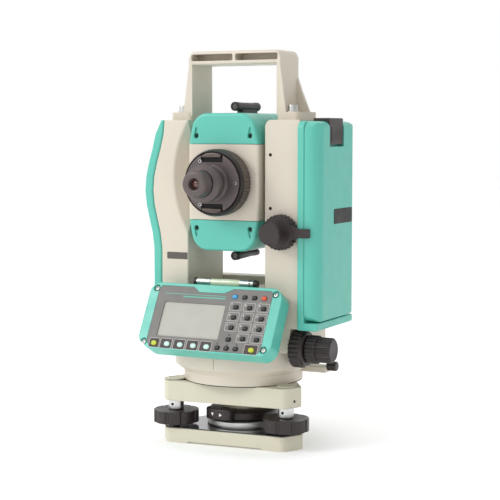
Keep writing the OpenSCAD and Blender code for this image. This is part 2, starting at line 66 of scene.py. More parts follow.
def linear(hex_colour: str) -> tuple[float, float, float, float]:
    """Turns an sRGB hex colour to the linear values that shaders take.

    Args:
        hex_colour: Six hex digits, such as "dcd5c6".

    Returns:
        Red, green, blue and an alpha of one.
    """
    parts = [int(hex_colour[i : i + 2], 16) / 255 for i in (0, 2, 4)]
    made = [c / 12.92 if c <= 0.04045 else ((c + 0.055) / 1.055) ** 2.4 for c in parts]
    return (*made, 1.0)


def add_node(
    tree: TREE, kind: str, settings: dict | None = None, inputs: dict | None = None
) -> bpy.types.Node:
    """Adds a shader node with its settings and links.

    Args:
        tree: The material's node tree.
        kind: The node's type without its "ShaderNode" start.
        settings: Properties of the node.
        inputs: Socket name or number to a value, or to the output socket that feeds it.

    Returns:
        The new node.
    """
    made = tree.nodes.new("ShaderNode" + kind)
    for name, value in (settings or {}).items():
        setattr(made, name, value)
    for name, value in (inputs or {}).items():
        if isinstance(value, bpy.types.NodeSocket):
            tree.links.new(value, made.inputs[name])
        else:
            made.inputs[name].default_value = value
    return made


class Pattern(Enum):
    """What a finish shows besides its grain."""

    PLAIN = "plain"
    TURNED = "turned about Z"
    DOTS = "dots"


@dataclass(frozen=True)
class Finish:
    """One surface finish, with its sizes in millimetres."""

    name: str
    colour: str
    slot: str
    roughness: float = 0.45
    metallic: float = 0.0
    ior: float = 1.5
    grain: float = 0.6
    grain_depth: float = 0.02
    mottle: float = 0.04
    mottle_size: float = 22.0
    gloss_spread: float = 0.08
    coat: float = 0.0
    pattern: Pattern = Pattern.PLAIN
    pattern_size: float = 0.5

    def material(self) -> bpy.types.Material:
        """Builds the material once and returns it each time.

        Returns:
            The material of this finish.
        """
        known = bpy.data.materials.get(self.name)
        if known:
            return known
        made = bpy.data.materials.new(self.name)
        made.use_nodes = True
        made.diffuse_color = linear(self.colour)
        tree = made.node_tree
        shader = tree.nodes["Principled BSDF"]
        shader.inputs["Metallic"].default_value = self.metallic
        shader.inputs["IOR"].default_value = self.ior
        shader.inputs["Coat Weight"].default_value = self.coat
        shader.inputs["Coat Roughness"].default_value = 0.08
        place = add_node(tree, "TexCoord").outputs["Object"]
        tree.links.new(self._tone(tree, place), shader.inputs["Base Color"])
        tree.links.new(self._gloss(tree, place), shader.inputs["Roughness"])
        tree.links.new(self._relief(tree, place), shader.inputs["Normal"])
        return made

    def _tone(self, tree: TREE, place: SOCKET) -> SOCKET:
        """Adds the colour: the finish's own, slightly lighter and darker in broad clouds.

        Args:
            tree: The material's node tree.
            place: The Object coordinates.

        Returns:
            The socket that gives the colour.
        """
        base = linear(self.colour)
        dark = tuple(c * (1 - self.mottle) for c in base[:3]) + (1.0,)
        light = tuple(min(1.0, c * (1 + self.mottle)) for c in base[:3]) + (1.0,)
        if self.pattern is Pattern.DOTS:
            # Dots of the display, drawn at twice their real size so that they show.
            grid = {"Scale": 1.0 / (self.pattern_size * MM), "Brick Width": 1.0, "Row Height": 1.0}
            look = {"Vector": place, "Mortar Size": 0.06, "Color1": light, "Color2": light, "Mortar": dark}
            return add_node(tree, "TexBrick", {"offset": 0.0, "squash": 1.0}, grid | look).outputs["Color"]
        clouds = {"Vector": place, "Scale": 1.0 / (self.mottle_size * MM), "Detail": 4.0}
        # The colour sockets of a Mix node are known by number, because several share a name.
        mixed = {"Factor": add_node(tree, "TexNoise", inputs=clouds).outputs[0], 6: dark, 7: light}
        return add_node(tree, "Mix", {"data_type": "RGBA"}, mixed).outputs[2]

    def _gloss(self, tree: TREE, place: SOCKET) -> SOCKET:
        """Adds the roughness: duller and shinier patches, as handling leaves them.

        Args:
            tree: The material's node tree.
            place: The Object coordinates.

        Returns:
            The socket that gives the roughness.
        """
        patches = {"Vector": place, "Scale": 1.0 / (self.mottle_size * 0.6 * MM), "Detail": 5.0}
        low = max(0.02, self.roughness - self.gloss_spread)
        high = min(1.0, self.roughness + self.gloss_spread)
        patch = add_node(tree, "TexNoise", inputs=patches).outputs[0]
        spread = {"Value": patch, "From Min": 0.3, "From Max": 0.7, "To Min": low, "To Max": high}
        return add_node(tree, "MapRange", inputs=spread).outputs["Result"]

    def _relief(self, tree: TREE, place: SOCKET) -> SOCKET:
        """Adds the fine relief: grain of the surface, and the tool marks of a turned one.

        Args:
            tree: The material's node tree.
            place: The Object coordinates.

        Returns:
            The socket that gives the normal.
        """
        fine = {"Vector": place, "Scale": 1.0 / (self.grain * MM), "Detail": 2.0}
        grain = add_node(tree, "TexNoise", inputs=fine).outputs[0]
        bump = {"Height": grain, "Strength": 0.6, "Distance": self.grain_depth * MM}
        normal = add_node(tree, "Bump", inputs=bump).outputs["Normal"]
        if self.pattern is Pattern.TURNED:
            rings = {"wave_type": "RINGS", "rings_direction": "Z", "wave_profile": "SIN"}
            spacing = {"Vector": place, "Scale": 0.5 / (self.pattern_size * MM)}
            marks = add_node(tree, "TexWave", rings, spacing).outputs["Fac"]
            cut = {"Height": marks, "Strength": 0.5, "Distance": 0.02 * MM, "Normal": normal}
            normal = add_node(tree, "Bump", inputs=cut).outputs["Normal"]
        return normal


# Die-cast alloy, sprayed: an even satin cream with the soft orange peel of sprayed enamel.
CREAM_PAINT = Finish(
    "sprayed_cream_casting", "d3cabb", "cast_cream", 0.42, grain=1.1, grain_depth=0.03, mottle=0.025
)
# The same enamel on the levelling base, a little yellower and duller.
BASE_PAINT = Finish(
    "sprayed_base_casting", "d3ceba", "cast_cream", 0.5, grain=1.1, grain_depth=0.04, mottle=0.035
)
# Moulded ABS with a spark-eroded texture: a clear mint with broad soft highlights.
MINT_ABS = Finish(
    "moulded_mint_abs", "5bbcab", "cover_mint", 0.36, ior=1.53, grain=0.7, grain_depth=0.03, mottle=0.03
)
# Glass-filled nylon of the grips: brownish black, matte, slightly greyer where hands polish it.
GRIP_NYLON = Finish(
    "moulded_grip_nylon", "291e1f", "knob_dark", 0.42, ior=1.53, grain=0.5, grain_depth=0.05, mottle=0.1
)
# Bead-blasted and anodised aluminium of the eyepiece: grey brown, with a soft metal sheen.
ANODISED = Finish(
    "anodised_eyepiece_aluminium", "5f5555", "optic_dark", 0.42, 0.4, grain=0.4, grain_depth=0.03
)
# The darker anodised barrel and ring: nearly black, with the same soft sheen.
DARK_ANODISED = Finish(
    "anodised_dark_aluminium", "383031", "optic_dark", 0.42, 0.35, grain=0.4, grain_depth=0.03
)
# The knurled band of the focusing ring and the bars in the disc's slots: a paler grey brown all over than the
# dark barrel, in stronger clouds.
PALER_ANODISED = Finish(
    "paler_anodised_aluminium", "5c534d", "optic_dark", 0.4, 0.4, grain=0.4, grain_depth=0.03, mottle=0.12
)
# Turned stainless steel: bright, with fine rings left by the lathe.
TURNED_STEEL = Finish(
    "turned_stainless_steel", "dcdcda", "steel", 0.33, 0.85, pattern=Pattern.TURNED, grain_depth=0.005
)
# Nickel-plated screw heads and plungers: bright and slightly warm, with sharp highlights.
PLATED_STEEL = Finish("plated_steel", "d2d2d0", "steel", 0.3, 1.0, grain_depth=0.01)
# Black spring steel, enamelled and polished: it mirrors the ring above it.
BLACK_ENAMEL = Finish(
    "polished_black_enamel", "171415", "knob_dark", 0.14,
    grain=3.0, grain_depth=0.01, gloss_spread=0.05, coat=0.6,
)
# Printed polyester film over the keys: a flat warm grey with a fine matte tooth.
KEY_FILM = Finish("printed_key_film", "767471", "overlay_grey", 0.55, grain=0.35, mottle=0.02)
# Screen-printed ink: flat and dull, in a pale grey, a brown black, a teal and a white.
PALE_INK = Finish("pale_ink", "b9b8b4", "overlay_grey", 0.6, mottle=0.01)
DARK_INK = Finish("brown_black_ink", "463d3e", "overlay_grey", 0.6, mottle=0.02)
TEAL_INK = Finish("teal_ink", "62bdaa", "overlay_grey", 0.6, mottle=0.02)
WHITE_INK = Finish("white_ink", "f0f0ee", "knob_dark", 0.6, mottle=0.01)
# Liquid crystal display behind a clear sheet: grey beige dots with a faint grid.
DISPLAY = Finish(
    "liquid_crystal_display", "b0afa6", "display", 0.5,
    grain_depth=0.0, mottle=0.03, pattern=Pattern.DOTS, pattern_size=0.8,
)
# Moulded silicone rubber of the keys: soft satin colours with blurred highlights.
BLACK_RUBBER = Finish("black_silicone_key", "1f2322", "key_black", 0.45, ior=1.43, mottle=0.05)
BLUE_RUBBER = Finish("blue_silicone_key", "3f9fd4", "key_blue", 0.42, ior=1.43)
RED_RUBBER = Finish("red_silicone_key", "d8512f", "key_red", 0.42, ior=1.43)
GREEN_RUBBER = Finish("yellow_green_silicone_key", "bcc83a", "key_green", 0.42, ior=1.43)
PALE_RUBBER = Finish("pale_silicone_key", "c6e6de", "key_pale", 0.42, ior=1.43)
# Multi-coated objective glass: nearly black with a blue violet cast.
COATED_GLASS = Finish(
    "coated_objective_glass", "141b26", "optic_dark", 0.04,
    ior=1.7, grain_depth=0.0, gloss_spread=0.01, coat=1.0,
)
# Coated eye lens over the tube's warm brown inside: a small dark gleam.
EYE_GLASS = Finish(
    "coated_eye_glass", "53302a", "optic_dark", 0.16,
    ior=1.6, grain_depth=0.0, gloss_spread=0.02, coat=0.8,
)
# Level vial glass, filled with a faintly green spirit, very shiny: the faint green is the spirit's own, and
# the pale, nearly white tone is painted highlight for the glass's bright reflections.
VIAL_GLASS = Finish(
    "level_vial_glass", "dfe9c9", "level_dark", 0.06,
    ior=1.47, grain_depth=0.0, gloss_spread=0.02, coat=1.0,
)
# Blank anodised name plates: a satin black and a satin brown grey.
PLATE_BLACK = Finish("blank_black_plate", "131213", "knob_dark", 0.5, grain_depth=0.01)
PLATE_GREY = Finish("blank_grey_plate", "55504c", "knob_dark", 0.4, grain_depth=0.01)
# Matt black: the own colour of the dust seal and the level's capstan screws, and painted shade in holes,
# slots and screw sockets, where dark discs, blocks and rods stand for the shade inside them; it gives back
# almost no light.
BLACK_PARTS_AND_HOLE_SHADE = Finish("matt_black_parts_and_hole_shade", "141213", "optic_dark", 0.85, mottle=0.05)


# ---- Modelling ----


class Axis(Enum):
    """The direction that a prism or a turned piece lies along."""

    X = ((0, 0, 1), (1, 0, 0), (0, 1, 0))
    Y = ((1, 0, 0), (0, 0, 1), (0, 1, 0))
    Z = ((1, 0, 0), (0, 1, 0), (0, 0, 1))

    def matrix(self) -> Matrix:
        """The turn that lays local Z along this axis."""
        return Matrix(self.value).to_4x4()

    @property
    def index(self) -> int:
        """The number of this direction in a vector."""
        return "XYZ".index(self.name)


def cad_box(node: str) -> tuple[Vector, Vector]:
    """Lowest and highest corner of a CAD node, in millimetres."""
    low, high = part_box(node)
    return low / MM, high / MM


def cad_centre(node: str) -> Vector:
    """Middle of a CAD node's box, in millimetres."""
    low, high = cad_box(node)
    return (low + high) / 2


class Shape:
    """A closed body that bmesh operators shape, in millimetres."""

    def __init__(self) -> None:
        """Starts an empty body."""
        self.bm = bmesh.new()

    @classmethod
    def block(cls, low: Sequence[float], high: Sequence[float]) -> "Shape":
        """A box between two corners.

        Args:
            low: The corner with the lowest coordinates.
            high: The opposite corner.

        Returns:
            The box.
        """
        shape = cls()
        bmesh.ops.create_cube(shape.bm, size=1.0)
        low, high = Vector(low), Vector(high)
        bmesh.ops.scale(shape.bm, vec=high - low, verts=shape.bm.verts[:])
        return shape.moved((low + high) / 2)

    @classmethod
    def plate(cls, width: float, height: float, radius: float, low: float, high: float) -> "Shape":
        """A plate round local Z with rounded corners, from low to high along Z."""
        shape = cls.block((-width / 2, -height / 2, low), (width / 2, height / 2, high))
        return shape.rounded(radius, 6, along(2, 1e-6))

    @classmethod
    def prism(cls, outline: OUTLINE, axis: Axis, start: float, end: float) -> "Shape":
        """An outline extruded along an axis.

        Args:
            outline: Corners in the other two directions: y, z for X; x, z for Y; x, y for Z.
            axis: The direction of the extrusion.
            start: Where it starts on the axis.
            end: Where it ends.

        Returns:
            The closed prism.
        """
        shape = cls()
        face = shape.bm.faces.new([shape.bm.verts.new((u, v, start)) for u, v in outline])
        grown = bmesh.ops.extrude_face_region(shape.bm, geom=[face])
        top = [g for g in grown["geom"] if isinstance(g, bmesh.types.BMVert)]
        bmesh.ops.translate(shape.bm, vec=(0, 0, end - start), verts=top)
        return shape.transformed(axis.matrix())

    @classmethod
    def turned(
        cls, profile: OUTLINE, axis: Axis, centre: Sequence[float] = (0, 0, 0), steps: int = 96
    ) -> "Shape":
        """A profile spun about an axis.

        Args:
            profile: Pairs of a radius and a place along the axis.
            axis: The direction of the axis.
            centre: A point that the axis goes through.
            steps: Facets round the turn.

        Returns:
            The turned body.
        """
        shape = cls()
        points = [shape.bm.verts.new((radius, 0, along)) for radius, along in profile]
        lines = [shape.bm.edges.new(pair) for pair in zip(points, points[1:])]
        bmesh.ops.spin(
            shape.bm, geom=points + lines, cent=(0, 0, 0), axis=(0, 0, 1), dvec=(0, 0, 0),
            angle=2 * math.pi, steps=steps, use_merge=True, use_duplicate=False,
        )
        bmesh.ops.remove_doubles(shape.bm, verts=shape.bm.verts[:], dist=1e-4)
        return shape.transformed(axis.matrix()).moved(centre)

    @classmethod
    def rod(
        cls, axis: Axis, centre: Sequence[float], radius: float, start: float, end: float, steps: int = 64
    ) -> "Shape":
        """A cylinder along an axis.

        Args:
            axis: The direction of the axis.
            centre: A point that the axis goes through.
            radius: The cylinder's radius.
            start: Its lower end, counted along the axis from centre.
            end: Its upper end.
            steps: Facets round it.

        Returns:
            The cylinder.
        """
        shape = cls()
        bmesh.ops.create_cone(
            shape.bm, cap_ends=True, segments=steps, radius1=radius, radius2=radius, depth=end - start
        )
        return shape.moved((0, 0, (start + end) / 2)).transformed(axis.matrix()).moved(centre)

    @classmethod
    def ribbed(
        cls, axis: Axis, centre: Sequence[float], radius: float, depth: float, ribs: int,
        start: float, end: float,
    ) -> "Shape":
        """A cylinder with straight grip ribs.

        Args:
            axis: The direction of the axis.
            centre: A point that the axis goes through.
            radius: Radius over the ribs.
            depth: How deep the valleys are.
            ribs: How many ribs there are.
            start: The lower end, counted along the axis from centre.
            end: The upper end.

        Returns:
            The ribbed cylinder.
        """
        shape = cls()
        bmesh.ops.create_circle(shape.bm, cap_ends=True, radius=radius, segments=ribs * 4)
        shape.bm.verts.ensure_lookup_table()
        for vert in shape.bm.verts:
            if vert.index % 4 in (2, 3):
                vert.co *= (radius - depth) / radius
        grown = bmesh.ops.extrude_face_region(shape.bm, geom=shape.bm.faces[:])
        top = [g for g in grown["geom"] if isinstance(g, bmesh.types.BMVert)]
        bmesh.ops.translate(shape.bm, vec=(0, 0, end - start), verts=top)
        return shape.moved((0, 0, start)).transformed(axis.matrix()).moved(centre)

    @classmethod
    def copy_of(cls, node: str) -> "Shape":
        """A copy of a CAD node's mesh with its loose triangles merged to whole faces.

        Args:
            node: The CAD node's name.

        Returns:
            The copy.
        """
        shape = cls()
        shape.bm.from_mesh(frame["nodes"][node].data)
        bmesh.ops.scale(shape.bm, vec=(1 / MM,) * 3, verts=shape.bm.verts[:])
        bmesh.ops.remove_doubles(shape.bm, verts=shape.bm.verts[:], dist=2e-3)
        return shape.cleaned()

    def cleaned(self, angle: float = 0.05) -> "Shape":
        """Merges faces that turn by less than an angle in degrees."""
        bmesh.ops.dissolve_limit(
            self.bm, angle_limit=math.radians(angle), verts=self.bm.verts[:], edges=self.bm.edges[:]
        )
        return self

    def transformed(self, matrix: Matrix) -> "Shape":
        """Applies a matrix and points the faces outwards again.

        Args:
            matrix: The move, turn or mirror.

        Returns:
            This body.
        """
        bmesh.ops.transform(self.bm, matrix=matrix, verts=self.bm.verts[:])
        bmesh.ops.recalc_face_normals(self.bm, faces=self.bm.faces[:])
        return self

    def moved(self, offset: Sequence[float]) -> "Shape":
        """Moves the body by an offset."""
        bmesh.ops.translate(self.bm, vec=Vector(offset), verts=self.bm.verts[:])
        return self

    def rounded(self, width: float, segments: int, where: EDGE_TEST, sharper: float = 12.0) -> "Shape":
        """Rounds the edges that a test picks.

        Args:
            width: Width of the rounding.
            segments: Steps across it.
            where: Takes an edge's two ends and says if it is rounded.
            sharper: Only edges that turn by more than this many degrees are rounded.

        Returns:
            This body.
        """
        limit = math.radians(sharper)
        turning = [e for e in self.bm.edges if len(e.link_faces) == 2 and e.calc_face_angle(0.0) > limit]
        edges = [e for e in turning if where(e.verts[0].co, e.verts[1].co)]
        if edges:
            bmesh.ops.bevel(
                self.bm, geom=edges, offset=width, offset_type="OFFSET", segments=segments, profile=0.5,
                affect="EDGES", clamp_overlap=True, material=-1, loop_slide=True,
            )
        return self

    def softened(self, width: float, segments: int = 3, sharper: float = 30.0) -> "Shape":
        """Rounds every edge that turns sharply."""
        return self.rounded(width, segments, lambda a, b: True, sharper)

    def _combined(self, other: "Shape", operation: str) -> "Shape":
        """Runs an exact boolean with another body and keeps the result here.

        Args:
            other: The other body, which is used up.
            operation: DIFFERENCE, INTERSECT or UNION.

        Returns:
            This body.
        """
        objects = [shape.as_object(label) for shape, label in ((self, "body"), (other, "tool"))]
        modifier = objects[0].modifiers.new("boolean", "BOOLEAN")
        modifier.operation = operation
        modifier.solver = "EXACT"
        modifier.object = objects[1]
        depsgraph = bpy.context.evaluated_depsgraph_get()
        self.bm.free()
        self.bm = bmesh.new()
        self.bm.from_object(objects[0], depsgraph)
        for made in objects:
            mesh = made.data
            bpy.data.objects.remove(made)
            bpy.data.meshes.remove(mesh)
        other.bm.free()
        bmesh.ops.remove_doubles(self.bm, verts=self.bm.verts[:], dist=1e-4)
        return self

    def cut(self, *tools: "Shape") -> "Shape":
        """Takes other bodies away from this one.

        Args:
            tools: The other bodies, which are used up.

        Returns:
            This body.
        """
        for tool in tools:
            self._combined(tool, "DIFFERENCE")
        return self

    def kept_inside(self, *others: "Shape") -> "Shape":
        """Keeps only what also lies in other bodies.

        Args:
            others: The other bodies, which are used up.

        Returns:
            This body.
        """
        for other in others:
            self._combined(other, "INTERSECT")
        return self

    def joined(self, *others: "Shape") -> "Shape":
        """Fuses other bodies with this one.

        Args:
            others: The other bodies, which are used up.

        Returns:
            This body.
        """
        for other in others:
            self._combined(other, "UNION")
        return self

    def beside(self, *others: "Shape") -> "Shape":
        """Adds bodies that don't touch this one, without fusing them.

        Args:
            others: The other bodies, which are used up.

        Returns:
            This body.
        """
        for other in others:
            mesh = bpy.data.meshes.new("part")
            other.bm.to_mesh(mesh)
            self.bm.from_mesh(mesh)
            bpy.data.meshes.remove(mesh)
            other.bm.free()
        return self

    def as_object(self, name: str) -> bpy.types.Object:
        """Makes a Blender object of the body, still in millimetres.

        Args:
            name: The object's name.

        Returns:
            The object, in the scene.
        """
        mesh = bpy.data.meshes.new(name)
        self.bm.to_mesh(mesh)
        made = bpy.data.objects.new(name, mesh)
        bpy.context.scene.collection.objects.link(made)
        return made

    def piece(
        self, name: str, body: str, finish: Finish, replaces: Iterable[str] = (),
        crease: float = 36.0, slot: str = "",
    ) -> bpy.types.Object:
        """Makes the finished piece of the body, in metres, and hangs it on the frame.

        Args:
            name: The piece's name.
            body: The CAD body that it rides on.
            finish: Its finish.
            replaces: CAD nodes that it stands for.
            crease: Edges that turn by more than this stay sharp in shading, in degrees.
            slot: The record's material slot, if not the finish's own; not used.

        Returns:
            The Blender object.
        """
        bmesh.ops.scale(self.bm, vec=(MM,) * 3, verts=self.bm.verts[:])
        for face in self.bm.faces:
            face.smooth = True
        for edge in self.bm.edges:
            edge.smooth = len(edge.link_faces) == 2 and edge.calc_face_angle(0.0) < math.radians(crease)
        made = self.as_object(name)
        self.bm.free()
        made.data.materials.append(finish.material())
        weighted = made.modifiers.new("weighted_normals", "WEIGHTED_NORMAL")
        weighted.keep_sharp = True
        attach(made, body)
        if replaces:
            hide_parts(*replaces)
        LOG.info("%s: %d faces on %s", name, len(made.data.polygons), body)
        return made


def dress(finish: Finish, *nodes: str) -> None:
    """Gives CAD nodes that stay visible a finish.

    Args:
        finish: The finish.
        nodes: The CAD nodes' names.
    """
    for name in nodes:
        mesh = frame["nodes"][name].data
        mesh.materials.clear()
        mesh.materials.append(finish.material())


def rim(axis: int, *levels: float) -> EDGE_TEST:
    """Picks the edges whose two ends lie at one of some levels along an axis."""
    return lambda a, b: any(abs(a[axis] - n) < 0.02 and abs(b[axis] - n) < 0.02 for n in levels)


def along(axis: int, least: float = 1.0) -> EDGE_TEST:
    """Picks the edges that reach more than a length along an axis."""
    return lambda a, b: abs(a[axis] - b[axis]) > least


def both(first: EDGE_TEST, second: EDGE_TEST) -> EDGE_TEST:
    """Picks the edges that pass two tests."""
    return lambda a, b: first(a, b) and second(a, b)


def on_side(side: int, near: float, far: float) -> list[float]:
    """Two distances from the middle as places on one side of it, the lower one first."""
    return sorted((side * near, side * far))


def polar(radius: float, degrees: float) -> Vector:
    """A point in the ground plane at a radius and an angle from +X."""
    return Vector((radius * math.cos(math.radians(degrees)), radius * math.sin(math.radians(degrees)), 0))


# ---- Base ----


@dataclass
class LevellingBase:
    """The tribrach: base plate, levelling screws, upper body and its lock."""

    edge: float = 1.3
    corner_round: float = 3.6
    corner_reach: float = 50.0
    tall_edge: float = 10.0
    seal_radii: tuple[float, float] = (49.0, 53.3)
    sheet_side: float = 15.5
    sheet_corner: float = 10.0
    spindle_hole: float = 6.2
    neck_radius: float = 23.9
    bore_radius: float = 6.8
    lock_radii: tuple[float, float] = (21.1, 31.0)
    mark_angles: tuple[float, float] = (253.0, 266.0)
    sheet_thickness: float = 0.8
    sheet_margin: float = 1.4
    thread_pitch: float = 2.31
    thread_depth: float = 1.1
    collar_hole: float = 1.3
    collar_radius: float = 7.1
    collar_low: float = 28.1
    adjuster: tuple[float, float] = (1.0, 43.2)
    body_corner: float = 71.5
    turn: float = 4.0
    cap_radius: float = 8.2
    pad_span: tuple[float, float] = (243.0, 272.0)
    pad_middle: float = 34.4
    pad_half: float = 5.4
    mark_size: float = 1.5
    feet: list[Vector] = field(default_factory=list)

    def build(self) -> None:
        """Builds every piece of the base."""
        names = ("level_screw_front_right", "level_screw_rear", "level_screw_front_left")
        self.feet = [cad_centre(name) for name in names]
        self.casting("base_plate").piece("base_plate_casting", "base", BASE_PAINT, ["base_plate"])
        self.spring_sheet()
        self.boss()
        self.upper_body()
        self.levelling_knobs(names)
        self.lock()
        top = cad_box("tribrach_body")[1].z
        inner, outer = self.seal_radii
        seal = [(inner, -0.2), (outer, -0.2), (outer, 0.4), (inner, 0.4), (inner, -0.2)]
        Shape.turned(seal, Axis.Z, (0, 0, top), 128).piece("dust_seal", "base", BLACK_PARTS_AND_HOLE_SHADE)
        dress(TURNED_STEEL, "horizontal_circle")

    def casting(self, node: str) -> Shape:
        """A CAD node's copy with round outer corners and soft edges.

        Args:
            node: The CAD node's name.

        Returns:
            The shaped body.
        """
        corners = both(along(2, self.tall_edge), lambda a, b: a.xy.length > self.corner_reach)
        return Shape.copy_of(node).rounded(self.corner_round, 6, corners, 40).softened(self.edge)

    def spring_sheet(self) -> None:
        """The polished black sheet on the base plate, with holes for the boss and the spindles."""
        plate_top = cad_box("base_plate")[1].z
        reach = self.feet[0].xy.length
        turn = math.degrees(math.atan2(self.feet[0].y, self.feet[0].x))
        side = reach - self.sheet_side - self.sheet_margin
        corner = reach + self.sheet_corner - self.sheet_margin
        half = (side - corner / 2) / math.sin(math.radians(60))
        outline = []
        for step in range(3):
            angle = turn + 120 * step
            out, across = polar(corner, angle), polar(1, angle + 90)
            outline += [tuple((out + across * sign * half).xy) for sign in (-1, 1)]
        sheet = Shape.prism(outline, Axis.Z, plate_top, plate_top + self.sheet_thickness)
        sheet.rounded(3.0, 4, along(2, 0.1))
        boss = cad_box("centre_boss")[1].x
        sheet.cut(Shape.rod(Axis.Z, (0, 0, 0), boss - 2.5, plate_top - 2, plate_top + 3))
        for foot in self.feet:
            middle = (foot.x, foot.y, 0)
            sheet.cut(Shape.rod(Axis.Z, middle, self.spindle_hole, plate_top - 2, plate_top + 3, 32))
        sheet.softened(0.2, 1).piece("spring_sheet", "base", BLACK_ENAMEL)

    def boss(self) -> None:
        """The tapped centre boss, with its polished ring and a ringed thread."""
        low, high = cad_box("centre_boss")
        outer, plate_top = high.x, cad_box("base_plate")[1].z
        neck, bore = self.neck_radius, self.bore_radius
        profile = [
            (bore, low.z), (neck, low.z), (neck, plate_top), (outer - 3, plate_top),
            (outer - 3, plate_top + 1.7), (outer - 0.4, plate_top + 1.9), (outer, plate_top + 2.3),
            (outer, high.z - 0.5), (outer - 0.5, high.z), (outer - 7, high.z), (outer - 7.4, high.z - 0.5),
            (bore + 1.2, high.z - 0.5), (bore + 1.2, high.z - 4),
        ]
        turns = int((high.z - 5 - low.z) / self.thread_pitch)
        for turn in range(turns, 0, -1):
            crest = low.z + turn * self.thread_pitch
            profile += [(bore, crest), (bore + self.thread_depth, crest - self.thread_pitch / 2)]
        profile.append((bore, low.z))
        ring = Shape.turned(profile, Axis.Z, steps=128)
        ring.piece("centre_boss_ring", "base", TURNED_STEEL, ["centre_boss"], 28)

    def upper_body(self) -> None:
        """The upper body with its screw collars, black discs of painted shade in the capstan holes and the
        adjusting hole, and top caps.
        """
        top = cad_box("tribrach_body")[1].z
        self.casting("tribrach_body").piece("upper_base_casting", "base", BASE_PAINT, ["tribrach_body"])
        r = self.cap_radius
        cap = [(0, 0), (r, 0), (r, 0.5), (r - 0.5, 1.2), (r - 1.4, 1.3), (r - 1.8, 0.8), (0, 0.8)]
        caps, collars, holes = Shape(), Shape(), Shape()
        for foot in self.feet:
            caps.beside(Shape.turned(cap, Axis.Z, (foot.x, foot.y, top), 48))
        caps.piece("spindle_caps", "base", BASE_PAINT)
        r, foot_z = self.collar_radius, self.collar_low
        tube = [(r - 0.9, 0.1), (r - 0.3, 0), (r, 0.4), (r, 8.9), (r - 0.9, 8.9), (r - 0.9, 0.1)]
        for foot in self.feet:
            collars.beside(Shape.turned(tube, Axis.Z, (foot.x, foot.y, foot_z), 64))
            middle = (foot.x, foot.y, foot_z + 4.6)
            # Dark discs in the collars: painted shade standing for the depth of the capstan holes.
            holes.beside(Shape.rod(Axis.Y, middle, self.collar_hole, -r - 0.05, -r + 0.5, 24))
        across, rise = self.adjuster
        # A dark disc of painted shade stands for the adjusting hole.
        drill = Shape.rod(Axis.X, (0, across, rise), 1.2, self.body_corner - 1, self.body_corner + 0.05, 24)
        holes.beside(drill.transformed(Matrix.Rotation(math.radians(self.turn - 30), 4, "Z")))
        collars.piece("screw_collars", "base", PLATED_STEEL)
        holes.piece("capstan_hole_shade", "base", BLACK_PARTS_AND_HOLE_SHADE)

    def levelling_knobs(self, names: Sequence[str]) -> None:
        """The three lobed knobs, each with its spindle.

        Args:
            names: The levelling screws' CAD nodes.
        """
        for name in names:
            knob = Shape.copy_of(name).softened(0.9, 3, 34)
            label, body = name.replace("level_screw", "levelling_knob"), name.replace("level_", "")
            knob.piece(label, body, GRIP_NYLON, [name])

    def lock(self) -> None:
        """The locking ring and its lever, which ends in an oval pad with two pointers."""
        low, high = cad_box("lock_lever")
        ring_top = high.z - 2.0
        inner, outer = self.lock_radii
        profile = [
            (inner, low.z), (outer - 2, low.z), (outer, low.z + 1.5), (outer, ring_top - 3),
            (outer - 1.2, ring_top - 1.4), (outer - 4, ring_top), (inner, ring_top), (inner, low.z),
        ]
        ring = Shape.turned(profile, Axis.Z, steps=128)
        first, last = self.pad_span
        middle, half = self.pad_middle, self.pad_half
        reach = middle + half
        sweep = [first + (last - first) * n / 12 for n in range(13)]
        caps = [15 * n for n in range(1, 12)]
        outline = [polar(reach, angle) for angle in sweep]
        outline += [polar(middle, last) + polar(half, last + turn) for turn in caps]
        outline += [polar(middle - half, angle) for angle in reversed(sweep)]
        outline += [polar(middle, first) + polar(half, first + 180 + turn) for turn in caps]
        pad = Shape.prism([tuple(point.xy) for point in outline], Axis.Z, low.z + 1.0, high.z)
        pad.rounded(1.6, 4, rim(2, low.z + 1.0, high.z), 50)
        ring.joined(pad).piece("lock_ring_and_lever", "lock", GRIP_NYLON, ["lock_lever"])
        marks, size = Shape(), self.mark_size
        pointer = [(-size, size * 0.9), (size, size * 0.9), (0, -size * 0.9)]
        for angle, turn in zip(self.mark_angles, (0, -90)):
            mark = Shape.prism(pointer, Axis.Y, -0.3, 0.25)
            mark.transformed(Matrix.Rotation(math.radians(turn), 4, "Y"))
            spot = polar(reach, angle)
            face = Matrix.Rotation(math.radians(angle - 270), 4, "Z")
            spot.z = (low.z + 1 + high.z) / 2
            marks.beside(mark.transformed(Matrix.Translation(spot) @ face))
        marks.piece("lock_pointers", "lock", WHITE_INK)


# ---- Alidade ----


